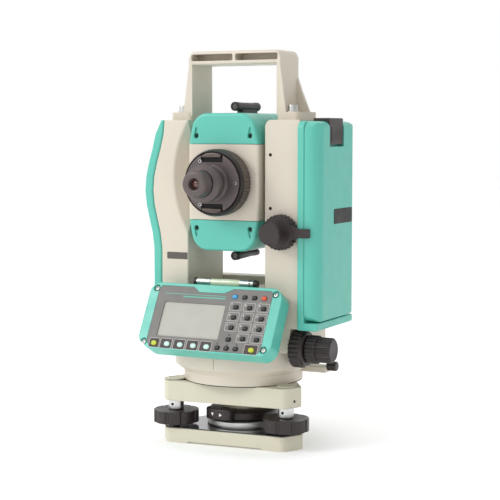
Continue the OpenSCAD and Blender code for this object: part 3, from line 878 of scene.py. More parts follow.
@dataclass
class Alidade:
    """The turning body: lower housing, standards, covers, plates and the plate level."""

    edge: float = 1.4
    standard_edge: float = 2.6
    cover_edge: float = 3.2
    name_plate: tuple[float, float, float, float] = (-59.2, -38.8, 163.0, 169.0)
    cover_screws: tuple[float, float, float] = (43.0, -22.0, 24.0)
    rear_round: float = 11.0
    vial_radius: float = 3.5
    vial_inset: float = 34.0
    bracket: tuple[tuple[float, ...], tuple[float, ...]] = ((52, 4, 63.6), (79, 17, 69.6))
    socket_centre: tuple[float, float, float] = (0.0, 10.0, 69.5)

    def build(self) -> None:
        """Builds every piece of the turning body."""
        self.lower_housing()
        self.standards()
        self.rear_cover()
        self.plate_level()
        self.connector()
        dress(TURNED_STEEL, "vertical_spindle")

    def lower_housing(self) -> None:
        """The round lower housing with its seam, and the block between the standards."""
        low, high = cad_box("alidade_base")
        drum = high.x
        body = Shape.copy_of("alidade_base").softened(self.edge, 3, 28)
        body.cut(Shape.block((1.4, -drum - 2, low.z + 15.2), (2.0, -drum + 0.8, low.z + 28)))
        body.piece("lower_housing", "alidade", CREAM_PAINT, ["alidade_base"])

    def standards(self) -> None:
        """The two standards, the swelling side cover, black discs of painted shade for its screw holes, and
        the name plate.
        """
        low, high = cad_box("left_standard")
        faces = rim(1, low.y, high.y)
        castings = (
            ("left_standard", "left_standard_casting", self.standard_edge, 4, CREAM_PAINT),
            ("left_cover", "left_side_cover", self.cover_edge, 5, MINT_ABS),
            ("right_standard", "right_standard_casting", self.standard_edge, 4, CREAM_PAINT),
        )
        for node, name, width, segments, finish in castings:
            Shape.copy_of(node).rounded(width, segments, faces, 25).piece(name, "alidade", finish, [node])
        holes, axis_z = Shape(), cad_centre("telescope_body").z
        across, *rises = self.cover_screws
        for rise in rises:
            # Flush dark discs: painted shade where the cover's screw holes are.
            holes.beside(Shape.rod(Axis.Y, (across, 0, axis_z + rise), 1.5, low.y - 0.05, low.y + 1, 24))
        holes.piece("standard_screw_hole_shade", "alidade", BLACK_PARTS_AND_HOLE_SHADE)
        left_x, right_x, bottom, top = self.name_plate
        plate = Shape.plate(right_x - left_x, top - bottom, 0.8, -0.2, 0.45).softened(0.15, 2)
        upright = Matrix.Rotation(math.radians(90), 4, "X")
        spot = Matrix.Translation(((left_x + right_x) / 2, low.y, (bottom + top) / 2))
        plate.transformed(spot @ upright).piece("blank_name_plate", "alidade", PLATE_GREY)

    def rear_cover(self) -> None:
        """The rear cover, rounded at its top corners."""
        low, high = cad_box("rear_cover")
        corners = both(along(1), lambda a, b: a.z > high.z - 1)
        cover = Shape.block(low, high).rounded(self.rear_round, 8, corners)
        cover.rounded(3.0, 4, rim(1, high.y)).softened(0.8, 2, 50)
        cover.piece("rear_cover_casting", "alidade", CREAM_PAINT, ["rear_cover"])

    def plate_level(self) -> None:
        """The plate level: a tube with a glass window, dark ends and capstan screws."""
        low, high = cad_box("plate_level")
        vial_r = self.vial_radius
        axis_y, axis_z = cad_centre("left_standard").y - self.vial_inset, high.z
        centre = (0, axis_y, axis_z)
        glass = [(0, -15), (2.4, -15), (3.1, -14), (3.25, 0), (3.1, 14), (2.4, 15), (0, 15)]
        Shape.turned(glass, Axis.X, centre, 48).piece("vial_glass", "alidade", VIAL_GLASS)
        tube, posts, screws = Shape(), Shape(), Shape()
        for side in (-1, 1):
            ends = on_side(side, 14.2, high.x - 3.0)
            tube.beside(Shape.rod(Axis.X, centre, vial_r, *ends).softened(0.4, 2))
            ends = on_side(side, high.x - 3.0, high.x)
            posts.beside(Shape.rod(Axis.X, centre, vial_r + 0.1, *ends).softened(0.6, 2))
            ends = on_side(side, high.x - 9, high.x - 3)
            posts.beside(Shape.block((ends[0], low.y + 1.5, low.z), (ends[1], high.y, axis_z - vial_r + 0.5)))
        tube.piece("vial_tube", "alidade", PLATED_STEEL)
        posts.piece("vial_ends_and_posts", "alidade", GRIP_NYLON, ["plate_level"], slot="level_dark")
        for x in (24.5, 28.5):
            screws.beside(Shape.ribbed(Axis.X, (0, axis_y, axis_z), 3.7, 0.5, 10, x - 1.1, x + 1.1))
        screws.piece("capstan_screws", "alidade", BLACK_PARTS_AND_HOLE_SHADE, slot="level_dark")

    def connector(self) -> None:
        """The data socket under the tangent screw: a cream bracket and its black dust cap."""
        bracket = Shape.block(*self.bracket).softened(1.5, 3)
        bracket.piece("socket_bracket", "alidade", CREAM_PAINT)
        cap = [(0, 78.6), (4.0, 78.6), (4.3, 79.6), (4.3, 86.6), (3.6, 87.5), (0, 87.7)]
        Shape.turned(cap, Axis.X, self.socket_centre, 40).piece("socket_dust_cap", "alidade", GRIP_NYLON)


# ---- Handle ----


@dataclass
class CarryHandle:
    """The carrying handle: a hollow bar, two ribbed legs and two flat feet."""

    bar: float = 12.0
    leg: float = 3.4
    rib: float = 3.0
    front_flare: float = 5.5
    rear_flare: float = 12.5
    leg_reach: float = 45.0
    slot_depth: float = 15.0
    screw_inset: float = 3.6

    def build(self) -> None:
        """Builds the handle and dresses its screws."""
        low, high = cad_box("carry_handle")
        foot_top, depth = low.z + 6.9, high.y - 1
        leg_x, top = self.leg_reach, high.z
        body = Shape.block((-leg_x, -depth, top - self.bar), (leg_x, depth, top))
        body.rounded(5, 6, both(along(1), lambda a, b: a.z > top - 1)).rounded(2.2, 4, rim(1, -depth, depth))
        for side in (-1, 1):
            xs = on_side(side, leg_x - self.leg, leg_x)
            body.joined(Shape.block((xs[0], -depth, foot_top - 3), (xs[1], depth, top - 5)))
            outer = leg_x - 1
            ribs = ((-depth, self.front_flare, 48), (depth - self.rib, self.rear_flare, 34))
            for start, flare, rise in ribs:
                corners = [
                    (side * outer, foot_top - 1), (side * (leg_x + flare), foot_top - 1),
                    (side * (leg_x + flare * 0.35), foot_top + rise * 0.55), (side * outer, foot_top + rise),
                ]
                body.joined(Shape.prism(corners, Axis.Y, start, start + self.rib))
            feet = on_side(side, leg_x - self.leg, high.x)
            foot = Shape.block((feet[0], -depth - 1, low.z), (feet[1], depth + 1, foot_top))
            body.joined(foot.rounded(4, 5, along(2)))
        for side in (-1, 1):
            xs = on_side(side, 1.2, leg_x - 2.6)
            pocket = Shape.block((xs[0], -depth - 1, top - 8.6), (xs[1], -depth + self.slot_depth, top - 2.6))
            body.cut(pocket.rounded(1.6, 3, along(1)))
        body.cleaned().softened(0.9, 3, 30).piece("handle_casting", "alidade", CREAM_PAINT, ["carry_handle"])
        screws = Shape()
        low, high = cad_box("handle_screws")
        head = [
            (0, 0), (5.4, 0), (5.4, 1.0), (4.3, 1.1), (4.3, 5.4), (3.8, 6.1), (2.2, 6.1), (2.0, 3.4),
            (0, 3.4),
        ]
        for x in (low.x + self.screw_inset, high.x - self.screw_inset):
            screws.beside(Shape.turned(head, Axis.Z, (x, (low.y + high.y) / 2, foot_top), 40))
        screws.piece("handle_cap_screws", "alidade", PLATED_STEEL, ["handle_screws"])


# ---- Battery side ----


@dataclass
class BatterySide:
    """The battery frame, the battery, its latch and its blank label."""

    corner: float = 9.0
    front_corner: float = 12.4
    crown: float = 6.0
    sill_overlap: float = 1.3
    label: tuple[float, float, float, float] = (-6.0, 34.0, 196.5, 209.5)

    def build(self) -> None:
        """Builds the battery side."""
        strip = Shape.copy_of("battery_frame")
        low, high = cad_box("battery_frame")
        strip.rounded(7, 7, both(along(0), rim(2, high.z))).softened(1.1, 3)
        strip.piece("battery_frame_moulding", "alidade", MINT_ABS, ["battery_frame"])
        low, high = cad_box("battery_pack")
        low.z -= self.sill_overlap
        case = Shape.block(low, high).rounded(self.corner, 8, both(along(0), rim(2, low.z, high.z)))
        plan = Shape.block(low - Vector((0, 0, 5)), high + Vector((0, 0, 5)))
        plan.rounded(self.front_corner, 12, both(rim(0, high.x), rim(1, low.y)))
        plan.rounded(self.corner / 2, 6, both(rim(0, high.x), rim(1, high.y)))
        profile = Shape.block(low - Vector((0, 5, 0)), high + Vector((0, 5, 0)))
        profile.rounded(self.crown, 6, both(rim(0, high.x), rim(2, high.z)))
        profile.rounded(self.crown / 3, 4, both(rim(0, high.x), rim(2, low.z)))
        case.kept_inside(plan, profile).cleaned(0.2)
        latch_low, latch_high = cad_box("battery_latch")
        pocket = Shape.block(
            (high.x - 5, latch_low.y - 0.6, latch_low.z - 2), (high.x + 2, latch_high.y + 0.6, high.z + 4)
        )
        case.cut(pocket)
        case.piece("battery_case", "battery", MINT_ABS, ["battery_pack"])
        latch = Shape.copy_of("battery_latch").softened(0.6, 2, 40)
        for step in range(5):
            z = latch_low.z + 3 + step * 2.6
            start = (latch_high.x - 1, latch_low.y + 4, z)
            latch.joined(Shape.block(start, (latch_high.x + 0.5, latch_high.y - 4, z + 1.1)))
        latch.piece("battery_latch_tab", "latch", GRIP_NYLON, ["battery_latch"])
        front, back, bottom, top = self.label
        plate = Shape.block((high.x - 0.2, front, bottom), (high.x + 0.35, back, top))
        plate.rounded(1.2, 4, along(0, 0.1)).softened(0.12, 2)
        plate.piece("blank_battery_label", "battery", PLATE_BLACK)


# ---- Keyboard ----


@dataclass
class Keyboard:
    """The keyboard: housing, printed film, display, keys, frames, digits and screws."""

    half_width: float = 64.5
    half_height: float = 31.0
    thickness: float = 16.5
    film: float = 0.8
    key_size: tuple[float, float] = (4.6, 3.5)
    soft_size: tuple[float, float] = (5.2, 4.2)
    clearance: float = 0.3
    screw_places: tuple[float, float] = (58.0, 25.2)
    frame_line: float = 0.45
    display_size: tuple[float, float] = (60.0, 32.0)
    arrow_rise: float = 3.6
    digit_size: float = 2.9
    digit_offset: tuple[float, float] = (-4.3, 2.2)
    window: Vector = field(default_factory=Vector)
    places: dict[str, Vector] = field(default_factory=dict)
    matrix: Matrix = field(default_factory=Matrix)

    TONES = {
        "key_light": BLUE_RUBBER, "key_power": RED_RUBBER,
        "key_escape": GREEN_RUBBER, "key_enter": GREEN_RUBBER,
    }
    DIGITS = "7894561230"

    def build(self) -> None:
        """Builds every piece of the keyboard."""
        self.find_panel()
        self.housing()
        self.printed_film()
        self.display()
        self.printed_frames()
        self.digits()
        self.keys()
        self.screws()

    def find_panel(self) -> None:
        """Works out the panel's own frame, and where each key stands in it."""
        press = next(j for j in frame["joints"] if j["name"] == "key_enter_press")
        normal = -Vector(press["axis"]).normalized()
        up = Vector((0, normal.z, -normal.y))
        origin = cad_centre("keypad_overlay") + up * 1.0 + normal * self.film / 2
        turn = Matrix(((1, 0, 0), up, normal)).transposed().to_4x4()
        self.matrix = Matrix.Translation(origin) @ turn
        back = self.matrix.inverted()
        keys = [name for name in frame["nodes"] if name.startswith("key_")]
        self.places = {name: back @ cad_centre(name) for name in keys}
        self.window = back @ cad_centre("display_window")

    def window_plate(self, grow: float, low: float, high: float) -> Shape:
        """A plate at the display's place.

        Args:
            grow: How much wider and higher than the display's window it is.
            low: Its lower face, counted from the panel.
            high: Its upper face.

        Returns:
            The plate, in the panel's frame.
        """
        width, height = self.display_size
        made = Shape.plate(width + grow, height + grow, 1.0, low, high)
        return made.moved((self.window.x, self.window.y, 0))

    def spots(self) -> list[tuple[float, float]]:
        """The four places of the housing's screws."""
        across, up = self.screw_places
        return [(x, y) for x in (-across, across) for y in (-up, up)]

    def is_soft(self, name: str) -> bool:
        """Says if a key is one of the large ones in the lowest row."""
        return name.startswith("key_soft") or name in ("key_escape", "key_enter")

    def key_holes(self, low: float, high: float) -> Shape:
        """One oval rod for each key, a clearance larger than the key.

        Args:
            low: The rods' lower ends, counted from the panel.
            high: Their upper ends.

        Returns:
            The rods, in the panel's frame.
        """
        tools, grow = Shape(), 2 * self.clearance
        for name, place in self.places.items():
            width, height = self.soft_size if self.is_soft(name) else self.key_size
            hole = Shape.plate(width + grow, height + grow, height / 2.2, low, high)
            tools.beside(hole.moved((place.x, place.y, 0)))
        return tools

    def film_outline(self, inset: float) -> list[tuple[float, float]]:
        """Corners of the film, which leaves room for a dip of the housing at its top."""
        left, right, top, bottom = -55.4 + inset, 55.2 - inset, 28.0 - inset, -29.6 + inset
        return [
            (left, bottom + 6), (left + 4.5, bottom), (right - 3, bottom), (right, bottom + 3.5),
            (right, top - 2.5), (right - 2, top), (18 + inset, top), (9 + inset, top - 4.6),
            (-15.5 - inset, top - 4.6), (-21.5 - inset, top), (left + 3, top), (left, top - 3),
        ]

    def housing(self) -> None:
        """The housing: a box with cut corners, a raised rim, key holes and screw recesses."""
        w, h = self.half_width, self.half_height
        outline = [
            (-w, -h + 8), (-w + 11, -h), (w - 6, -h), (w, -h + 7),
            (w, h - 7), (w - 6, h), (-w + 5, h), (-w, h - 6),
        ]
        body = Shape.prism(outline, Axis.Z, -self.thickness, 0)
        body.rounded(5.5, 6, along(2))
        body.rounded(2.8, 5, rim(2, 0.0)).rounded(1.2, 3, rim(2, -self.thickness))
        body.cut(Shape.prism(self.film_outline(-0.25), Axis.Z, -self.film, 3))
        body.cut(self.window_plate(0.4, -3.2, 2))
        body.cut(self.key_holes(-6.0, 2.0))
        for x, y in self.spots():
            body.cut(Shape.rod(Axis.Z, (x, y, 0), 3.4, -2.2, 2, 32))
        body.transformed(self.matrix).piece("keyboard_case", "alidade", MINT_ABS, ["keyboard_housing"])

    def printed_film(self) -> None:
        """The grey printed film with its window and key holes."""
        film = Shape.prism(self.film_outline(0), Axis.Z, -self.film + 0.02, -0.05)
        film.rounded(1.5, 3, along(2, 0.3))
        film.cut(self.window_plate(0.0, -3, 2))
        film.cut(self.key_holes(-3.0, 2.0))
        film.transformed(self.matrix).piece("key_film", "alidade", KEY_FILM, ["keypad_overlay"])
        lines = Shape()
        for y, left, right, size in ((20.9, -48.5, 11.4, 0.5), (18.7, -30.0, 11.4, 1.0)):
            lines.beside(Shape.block((left, y - size / 2, -0.1), (right, y + size / 2, 0.02)))
        lines.transformed(self.matrix).piece("teal_lines", "alidade", TEAL_INK)

    def display(self) -> None:
        """The display, sunk behind the film."""
        made = self.window_plate(0.2, -2.2, -1.0)
        made.transformed(self.matrix).piece("display_screen", "alidade", DISPLAY, ["display_window"])

    def outlined(self, width: float, height: float, spots: Iterable[tuple[float, float]]) -> Shape:
        """Thin printed frames of one size at some places.

        Args:
            width: Width over the line.
            height: Height over the line.
            spots: The frames' middles, in the panel's frame.

        Returns:
            The frames, in the panel's frame.
        """
        made, line = Shape(), 2 * self.frame_line
        for x, y in spots:
            outer = Shape.plate(width, height, 1.3, -0.06, 0.03)
            outer.cut(Shape.plate(width - line, height - line, 0.9, -1, 1))
            made.beside(outer.moved((x, y, 0)))
        return made

    def printed_frames(self) -> None:
        """Pale frames round the keys, with darker fields under the large ones."""
        numbered = [p for n, p in self.places.items() if n[4:].isdigit() or n == "key_point"]
        frames = self.outlined(11.4, 8.0, [(p.x - 0.4, p.y + 0.7) for p in numbered])
        soft = {n: p for n, p in self.places.items() if n.startswith("key_soft")}
        frames.beside(self.outlined(11.6, 9.6, [(p.x - 1.2, p.y + 0.4) for p in soft.values()]))
        escape, enter = self.places["key_escape"], self.places["key_enter"]
        frames.beside(self.outlined(10.4, 9.0, [(escape.x, escape.y + 0.4)]))
        frames.beside(self.outlined(13.2, 9.4, [(enter.x - 0.6, enter.y + 0.4)]))
        frames.transformed(self.matrix).piece("printed_frames", "alidade", PALE_INK)
        fields = Shape()
        sizes = [(p.x - 1.2, p.y + 0.4, 10.6, 8.6) for p in soft.values()]
        sizes += [(escape.x, escape.y + 0.4, 9.4, 8.0), (enter.x - 0.6, enter.y + 0.4, 12.2, 8.4)]
        for x, y, width, height in sizes:
            fields.beside(Shape.plate(width, height, 0.9, -0.06, 0.0).moved((x, y, 0)))
        fields.cut(self.key_holes(-3, 2))
        fields.transformed(self.matrix).piece("printed_fields", "alidade", DARK_INK)

    def digits(self) -> None:
        """Plain digits beside their keys, and a small arrow beside each arrow key."""
        made = Shape()
        for digit in self.DIGITS:
            place = self.places[f"key_{digit}"]
            curve = bpy.data.curves.new("digit", "FONT")
            curve.body = digit
            curve.size = self.digit_size
            curve.extrude = 0.03
            curve.resolution_u = 2
            curve.align_x = "CENTER"
            curve.align_y = "CENTER"
            text = bpy.data.objects.new("digit", curve)
            bpy.context.scene.collection.objects.link(text)
            mesh = bpy.data.meshes.new_from_object(text.evaluated_get(bpy.context.evaluated_depsgraph_get()))
            across, up = self.digit_offset
            mesh.transform(Matrix.Translation((place.x + across, place.y + up, 0.0)))
            made.bm.from_mesh(mesh)
            bpy.data.objects.remove(text)
            bpy.data.curves.remove(curve)
            bpy.data.meshes.remove(mesh)
        made.transformed(self.matrix).piece("key_digits", "alidade", WHITE_INK)
        arrows = Shape()
        for name, degrees in (("key_up", 0), ("key_left", 90), ("key_down", 180), ("key_right", -90)):
            place = self.places[name]
            arrow = Shape.prism([(-1.1, 0), (1.1, 0), (0, 1.7)], Axis.Z, -0.06, 0.03)
            arrow.transformed(Matrix.Rotation(math.radians(degrees), 4, "Z"))
            arrows.beside(arrow.moved((place.x, place.y + self.arrow_rise, 0)))
        arrows.transformed(self.matrix).piece("key_arrows", "alidade", DARK_INK)

    def keys(self) -> None:
        """The keys: domed ovals of silicone rubber, each on its own body."""
        for name, place in self.places.items():
            soft = self.is_soft(name)
            width, height = self.soft_size if soft else self.key_size
            key = Shape.plate(width, height, height / 2.2, -2.2, 1.2).rounded(0.7, 4, rim(2, 1.2))
            key.moved((place.x, place.y, 0)).transformed(self.matrix)
            tone = self.TONES.get(name, PALE_RUBBER if soft else BLACK_RUBBER)
            key.piece(name + "_rubber", name + "_cap", tone, [name])

    def screws(self) -> None:
        """Four bright button-head screws with sockets."""
        made = Shape()
        head = [
            (0, -2.4), (2.2, -2.4), (2.2, -1.2), (1.8, -0.5), (1.1, -0.3), (1.0, -0.4), (0.95, -1.4),
            (0, -1.4),
        ]
        for x, y in self.spots():
            made.beside(Shape.turned(head, Axis.Z, (x, y, 0), 32))
        made.transformed(self.matrix).piece("keyboard_screws", "alidade", PLATED_STEEL)


# ---- Telescope ----


@dataclass
class Telescope:
    """The telescope: body, covers, focusing ring, eyepiece, objective and sights."""

    half_width: float = 34.0
    cover_lean: float = 5.5
    cover_round: float = 12.0
    seam: float = 0.35
    rib_depth: float = 0.55
    ribs: int = 64
    disc_radius: float = 26.5
    slot_half: float = 10.5
    screw_radius: float = 22.0
    screw_angles: tuple[float, ...] = (0.0, 122.0, 238.0)
    pocket_span: tuple[float, float] = (17.8, 24.2)
    recess: tuple[float, float] = (26.2, 40.3)
    bearing_radius: float = 18.3
    sight_radius: float = 4.0
    axis: Vector = field(default_factory=Vector)

    def build(self) -> None:
        """Builds every piece of the telescope."""
        self.axis = Vector((0, 0, cad_centre("telescope_body").z))
        self.body()
        for side in (1, -1):
            self.cover(side)
        self.focusing_ring()
        self.eyepiece()
        self.objective()
        self.sights()
        dress(PLATED_STEEL, "trunnion_axles")

    def body(self) -> None:
        """The cream middle of the telescope."""
        low, high = cad_box("telescope_body")
        body = Shape.block(low, high).rounded(2.6, 4, along(2)).rounded(0.5, 2, rim(2, low.z, high.z))
        body.piece("telescope_casting", "telescope", CREAM_PAINT, ["telescope_body"])

    def cover(self, side: int) -> None:
        """One mint cover, with teardrop recesses for its screws.

        Args:
            side: 1 for the upper cover, -1 for the lower one.
        """
        low, high = cad_box("telescope_covers")
        base, top = cad_box("telescope_body")[1].z - self.axis.z + self.seam, high.z - self.axis.z
        w, lean = self.half_width, self.cover_lean
        outline = [(-w, base), (w, base), (w - lean, top), (-w + lean, top)]
        cover = Shape.prism(outline, Axis.Y, low.y, high.y)
        cover.rounded(self.cover_round, 8, both(along(1), lambda a, b: min(a.z, b.z) > top - 1))
        cover.rounded(2.6, 4, both(rim(1, low.y, high.y), lambda a, b: max(a.z, b.z) > base + 0.5))
        reach, z = self.recess
        screws = Shape()
        for across in (-reach, reach):
            for face, inwards in ((low.y, 1), (high.y, -1)):
                span = sorted((face - inwards, face + 4.2 * inwards))
                cover.cut(Shape.rod(Axis.Y, (across, 0, z), 2.3, *span, 32))
                span = sorted((face - inwards, face + 1.4 * inwards))
                drop = [(-2.2, 0.5), (2.2, 0.5), (0.5, 7.5), (-0.5, 7.5)]
                cover.cut(Shape.prism([(across + x, z + up) for x, up in drop], Axis.Y, *span))
                span = sorted((face + 3.2 * inwards, face + 4.4 * inwards))
                screws.beside(Shape.rod(Axis.Y, (across, 0, z), 1.9, *span, 24).softened(0.3, 2))
        flip = Matrix.Translation(self.axis) @ Matrix.Diagonal((1, 1, side, 1))
        label = "upper" if side > 0 else "lower"
        replaced = ["telescope_covers"] if side > 0 else []
        cover.transformed(flip).piece(f"{label}_telescope_cover", "telescope", MINT_ABS, replaced)
        # The screws are dark anodised as painted shade: they stand for the dark holes at the foot of the
        # teardrop recesses.
        screws.transformed(flip).piece(f"{label}_cover_screws", "telescope", DARK_ANODISED)

    def focusing_ring(self) -> None:
        """The focusing ring: fine grip ribs between two plain, tapered rims."""
        low, high = cad_box("focus_ring")
        radius = high.x
        inner = self.disc_radius + 0.25
        grip = Shape.ribbed(Axis.Y, self.axis, radius, self.rib_depth, self.ribs, low.y + 3.4, high.y - 4.0)
        grip.cut(Shape.rod(Axis.Y, self.axis, inner - 1.5, low.y - 1, high.y + 1, 96))
        grip.piece("focusing_grip", "focusing_ring", PALER_ANODISED, ["focus_ring"], 25)
        rims = Shape()
        front = [
            (inner, low.y + 4.4), (inner, low.y + 0.3), (inner + 0.5, low.y), (inner + 0.9, low.y + 0.3),
            (radius - 0.5, low.y + 2.6), (radius - 0.2, low.y + 3.6), (radius - 0.9, low.y + 3.9),
            (inner, low.y + 4.4),
        ]
        bore = self.bearing_radius
        back = [
            (bore, high.y - 4.4), (radius - 0.3, high.y - 4.2), (radius - 0.3, high.y - 3.2),
            (radius - 2.6, high.y - 2.6), (radius - 2.8, high.y), (bore, high.y), (bore, high.y - 4.4),
        ]
        for profile in (front, back):
            rims.beside(Shape.turned(profile, Axis.Y, self.axis, 128))
        rims.piece("focusing_rims", "focusing_ring", DARK_ANODISED)

    def eyepiece(self) -> None:
        """The fixed eyepiece disc with its slots and screws, painted shade in the slots and the screws'
        sockets, the stepped mount and the eye ring.
        """
        front = cad_box("eyepiece_tube")[0].y
        ring_low, ring_high = cad_box("eyepiece_ring")
        focus_front = cad_box("focus_ring")[0].y
        disc_y = focus_front - 1.4
        disc_r = self.disc_radius
        profile = [
            (0, disc_y + 5), (disc_r - 0.6, disc_y + 5), (disc_r - 0.6, disc_y + 1.0),
            (disc_r - 0.9, disc_y + 0.3), (disc_r - 1.6, disc_y), (0, disc_y),
        ]
        disc = Shape.turned(profile, Axis.Y, self.axis, 128)
        near, far = self.pocket_span
        for side in (-1, 1):
            zs = on_side(side, near, far)
            pocket = Shape.block((-self.slot_half, disc_y - 1, zs[0]), (self.slot_half, disc_y + 3.6, zs[1]))
            disc.cut(pocket.rounded(0.7, 3, along(1)).moved(self.axis))
        places = [polar(self.screw_radius, angle) for angle in self.screw_angles]
        for place in places:
            centre = (place.x, 0, self.axis.z + place.y)
            disc.cut(Shape.rod(Axis.Y, centre, 1.9, disc_y - 1, disc_y + 1.4, 24))
        blocks, bars = Shape(), Shape()
        for side in (-1, 1):
            zs = on_side(side, near, 21.9)
            # Dark blocks in the slots' floors: painted shade deep in the slots.
            block = Shape.block((-self.slot_half, disc_y + 1.6, zs[0]), (self.slot_half, disc_y + 4.0, zs[1]))
            blocks.beside(block.moved(self.axis))
            zs = on_side(side, 21.8, 24.0)
            ends = (-self.slot_half + 0.8, self.slot_half - 2.0)
            block = Shape.block((ends[0], disc_y - 0.4, zs[0]), (ends[1], disc_y + 4.0, zs[1]))
            bars.beside(block.softened(0.6, 3).moved(self.axis))
        bars.piece("disc_slot_bars", "telescope", PALER_ANODISED)
        blocks.piece("disc_slot_shade", "telescope", BLACK_PARTS_AND_HOLE_SHADE)
        disc.softened(0.2, 1, 50).piece("eyepiece_disc", "telescope", ANODISED, ["eyepiece_tube"])
        screws, sockets = Shape(), Shape()
        head = [(0.85, 1.6), (1.75, 1.6), (1.75, 0.2), (1.45, -0.2), (0.95, -0.2), (0.85, 0), (0.85, 1.6)]
        for place in places:
            centre = (place.x, disc_y, self.axis.z + place.y)
            screws.beside(Shape.turned(head, Axis.Y, centre, 24))
            # Dark rods in the heads: painted shade inside the screws' sockets.
            sockets.beside(Shape.rod(Axis.Y, centre, 0.9, 0.5, 1.5, 12))
        screws.piece("eyepiece_disc_screws", "telescope", PLATED_STEEL)
        sockets.piece("eyepiece_screw_socket_shade", "telescope", BLACK_PARTS_AND_HOLE_SHADE)
        end = front - disc_y
        mount = [
            (0, 1), (15.4, 1), (15.4, -0.05), (14.4, -0.3), (13.5, -1.2), (13.1, -2.6), (13.0, -10.2),
            (16.0, -10.6), (16.5, -11.1), (16.5, -16.2), (16.1, -16.9), (15.2, -17.4), (12.6, -19.4),
            (11.9, -19.6), (10.9, -18.6), (10.6, end + 0.4), (10.2, end), (0, end),
        ]
        made = Shape.turned(mount, Axis.Y, (0, disc_y, self.axis.z), 128)
        made.piece("eyepiece_mount", "telescope", ANODISED)
        outer = ring_high.x
        cup = [
            (0, 9), (outer - 1.4, 12.0), (outer - 0.2, 11.4), (outer, 10.4), (outer - 0.15, 2.6),
            (outer - 1.0, 0.9), (outer - 2.4, 0.15), (6.0, 0), (5.2, 0.5), (4.7, 1.4), (4.5, 4.8), (0, 4.9),
        ]
        lip = (0, ring_low.y, self.axis.z)
        Shape.turned(cup, Axis.Y, lip, 96).piece("eyepiece_cup", "eyepiece", ANODISED, ["eyepiece_ring"])
        lens = [(0, 3.2), (2.2, 3.5), (4.3, 4.6), (4.3, 4.85), (0, 4.85)]
        Shape.turned(lens, Axis.Y, lip, 48).piece("eye_lens", "eyepiece", EYE_GLASS)

    def objective(self) -> None:
        """The objective barrel with a ribbed hood, and its coated lens."""
        low, high = cad_box("objective_barrel")
        outer = high.x
        barrel = [
            (outer - 6, low.y), (outer, low.y), (outer, low.y + 1.2), (outer - 0.8, low.y + 2.0),
            (outer - 0.8, low.y + 8), (outer, low.y + 8.6), (outer, high.y - 1.4),
            (outer - 0.7, high.y - 0.3), (outer - 1.5, high.y), (outer - 3.0, high.y),
            (outer - 4.0, high.y - 1.0),
            (outer - 4.4, high.y - 6.4), (outer - 6, high.y - 6.6), (outer - 6, low.y),
        ]
        hood = Shape.turned(barrel, Axis.Y, self.axis, 128)
        hood.piece("objective_hood", "telescope", DARK_ANODISED, ["objective_barrel"])
        lens = [
            (0, low.y + 1), (outer - 6.2, low.y + 1), (outer - 6.2, high.y - 8.4), (15, high.y - 6.9),
            (8, high.y - 6.2), (0, high.y - 5.9),
        ]
        Shape.turned(lens, Axis.Y, self.axis, 96).piece("objective_lens", "telescope", COATED_GLASS)

    def sights(self) -> None:
        """The two open sights, one on each cover, with pale windows at the eye end."""
        low, high = cad_box("sights")
        radius = self.sight_radius
        reach = (high.z - low.z) / 2 - radius
        for side, label, back in ((1, "upper", radius), (-1, "lower", radius - 1.0)):
            tube = [
                (0, low.y + 1.2), (2.5, low.y + 1.2), (2.6, low.y), (3.5, low.y), (radius, low.y + 0.8),
                (radius, low.y + 7), (radius - 0.35, low.y + 8), (back - 0.35, high.y - 8),
                (back, high.y - 7), (back, high.y - 0.9), (back - 0.8, high.y), (0, high.y),
            ]
            centre = (0, 0, self.axis.z + side * reach)
            body = Shape.turned(tube, Axis.Y, centre, 48)
            zs = sorted((centre[2] - side * 2.5, self.axis.z + side * (reach - 6.2)))
            foot = Shape.block((-2.9, low.y + 10, zs[0]), (2.9, high.y - 4, zs[1]))
            body.joined(foot.rounded(2.0, 4, along(2)))
            replaced = ["sights"] if side > 0 else []
            body.piece(f"{label}_sight", "telescope", GRIP_NYLON, replaced, slot="sight_dark")
            window = [(0, low.y + 0.5), (2.3, low.y + 0.7), (2.45, low.y + 1.25), (0, low.y + 1.25)]
            pane = Shape.turned(window, Axis.Y, centre, 32)
            pane.piece(f"{label}_sight_window", "telescope", PLATE_GREY, slot="sight_dark")


# ---- Clamps and tangent screws ----


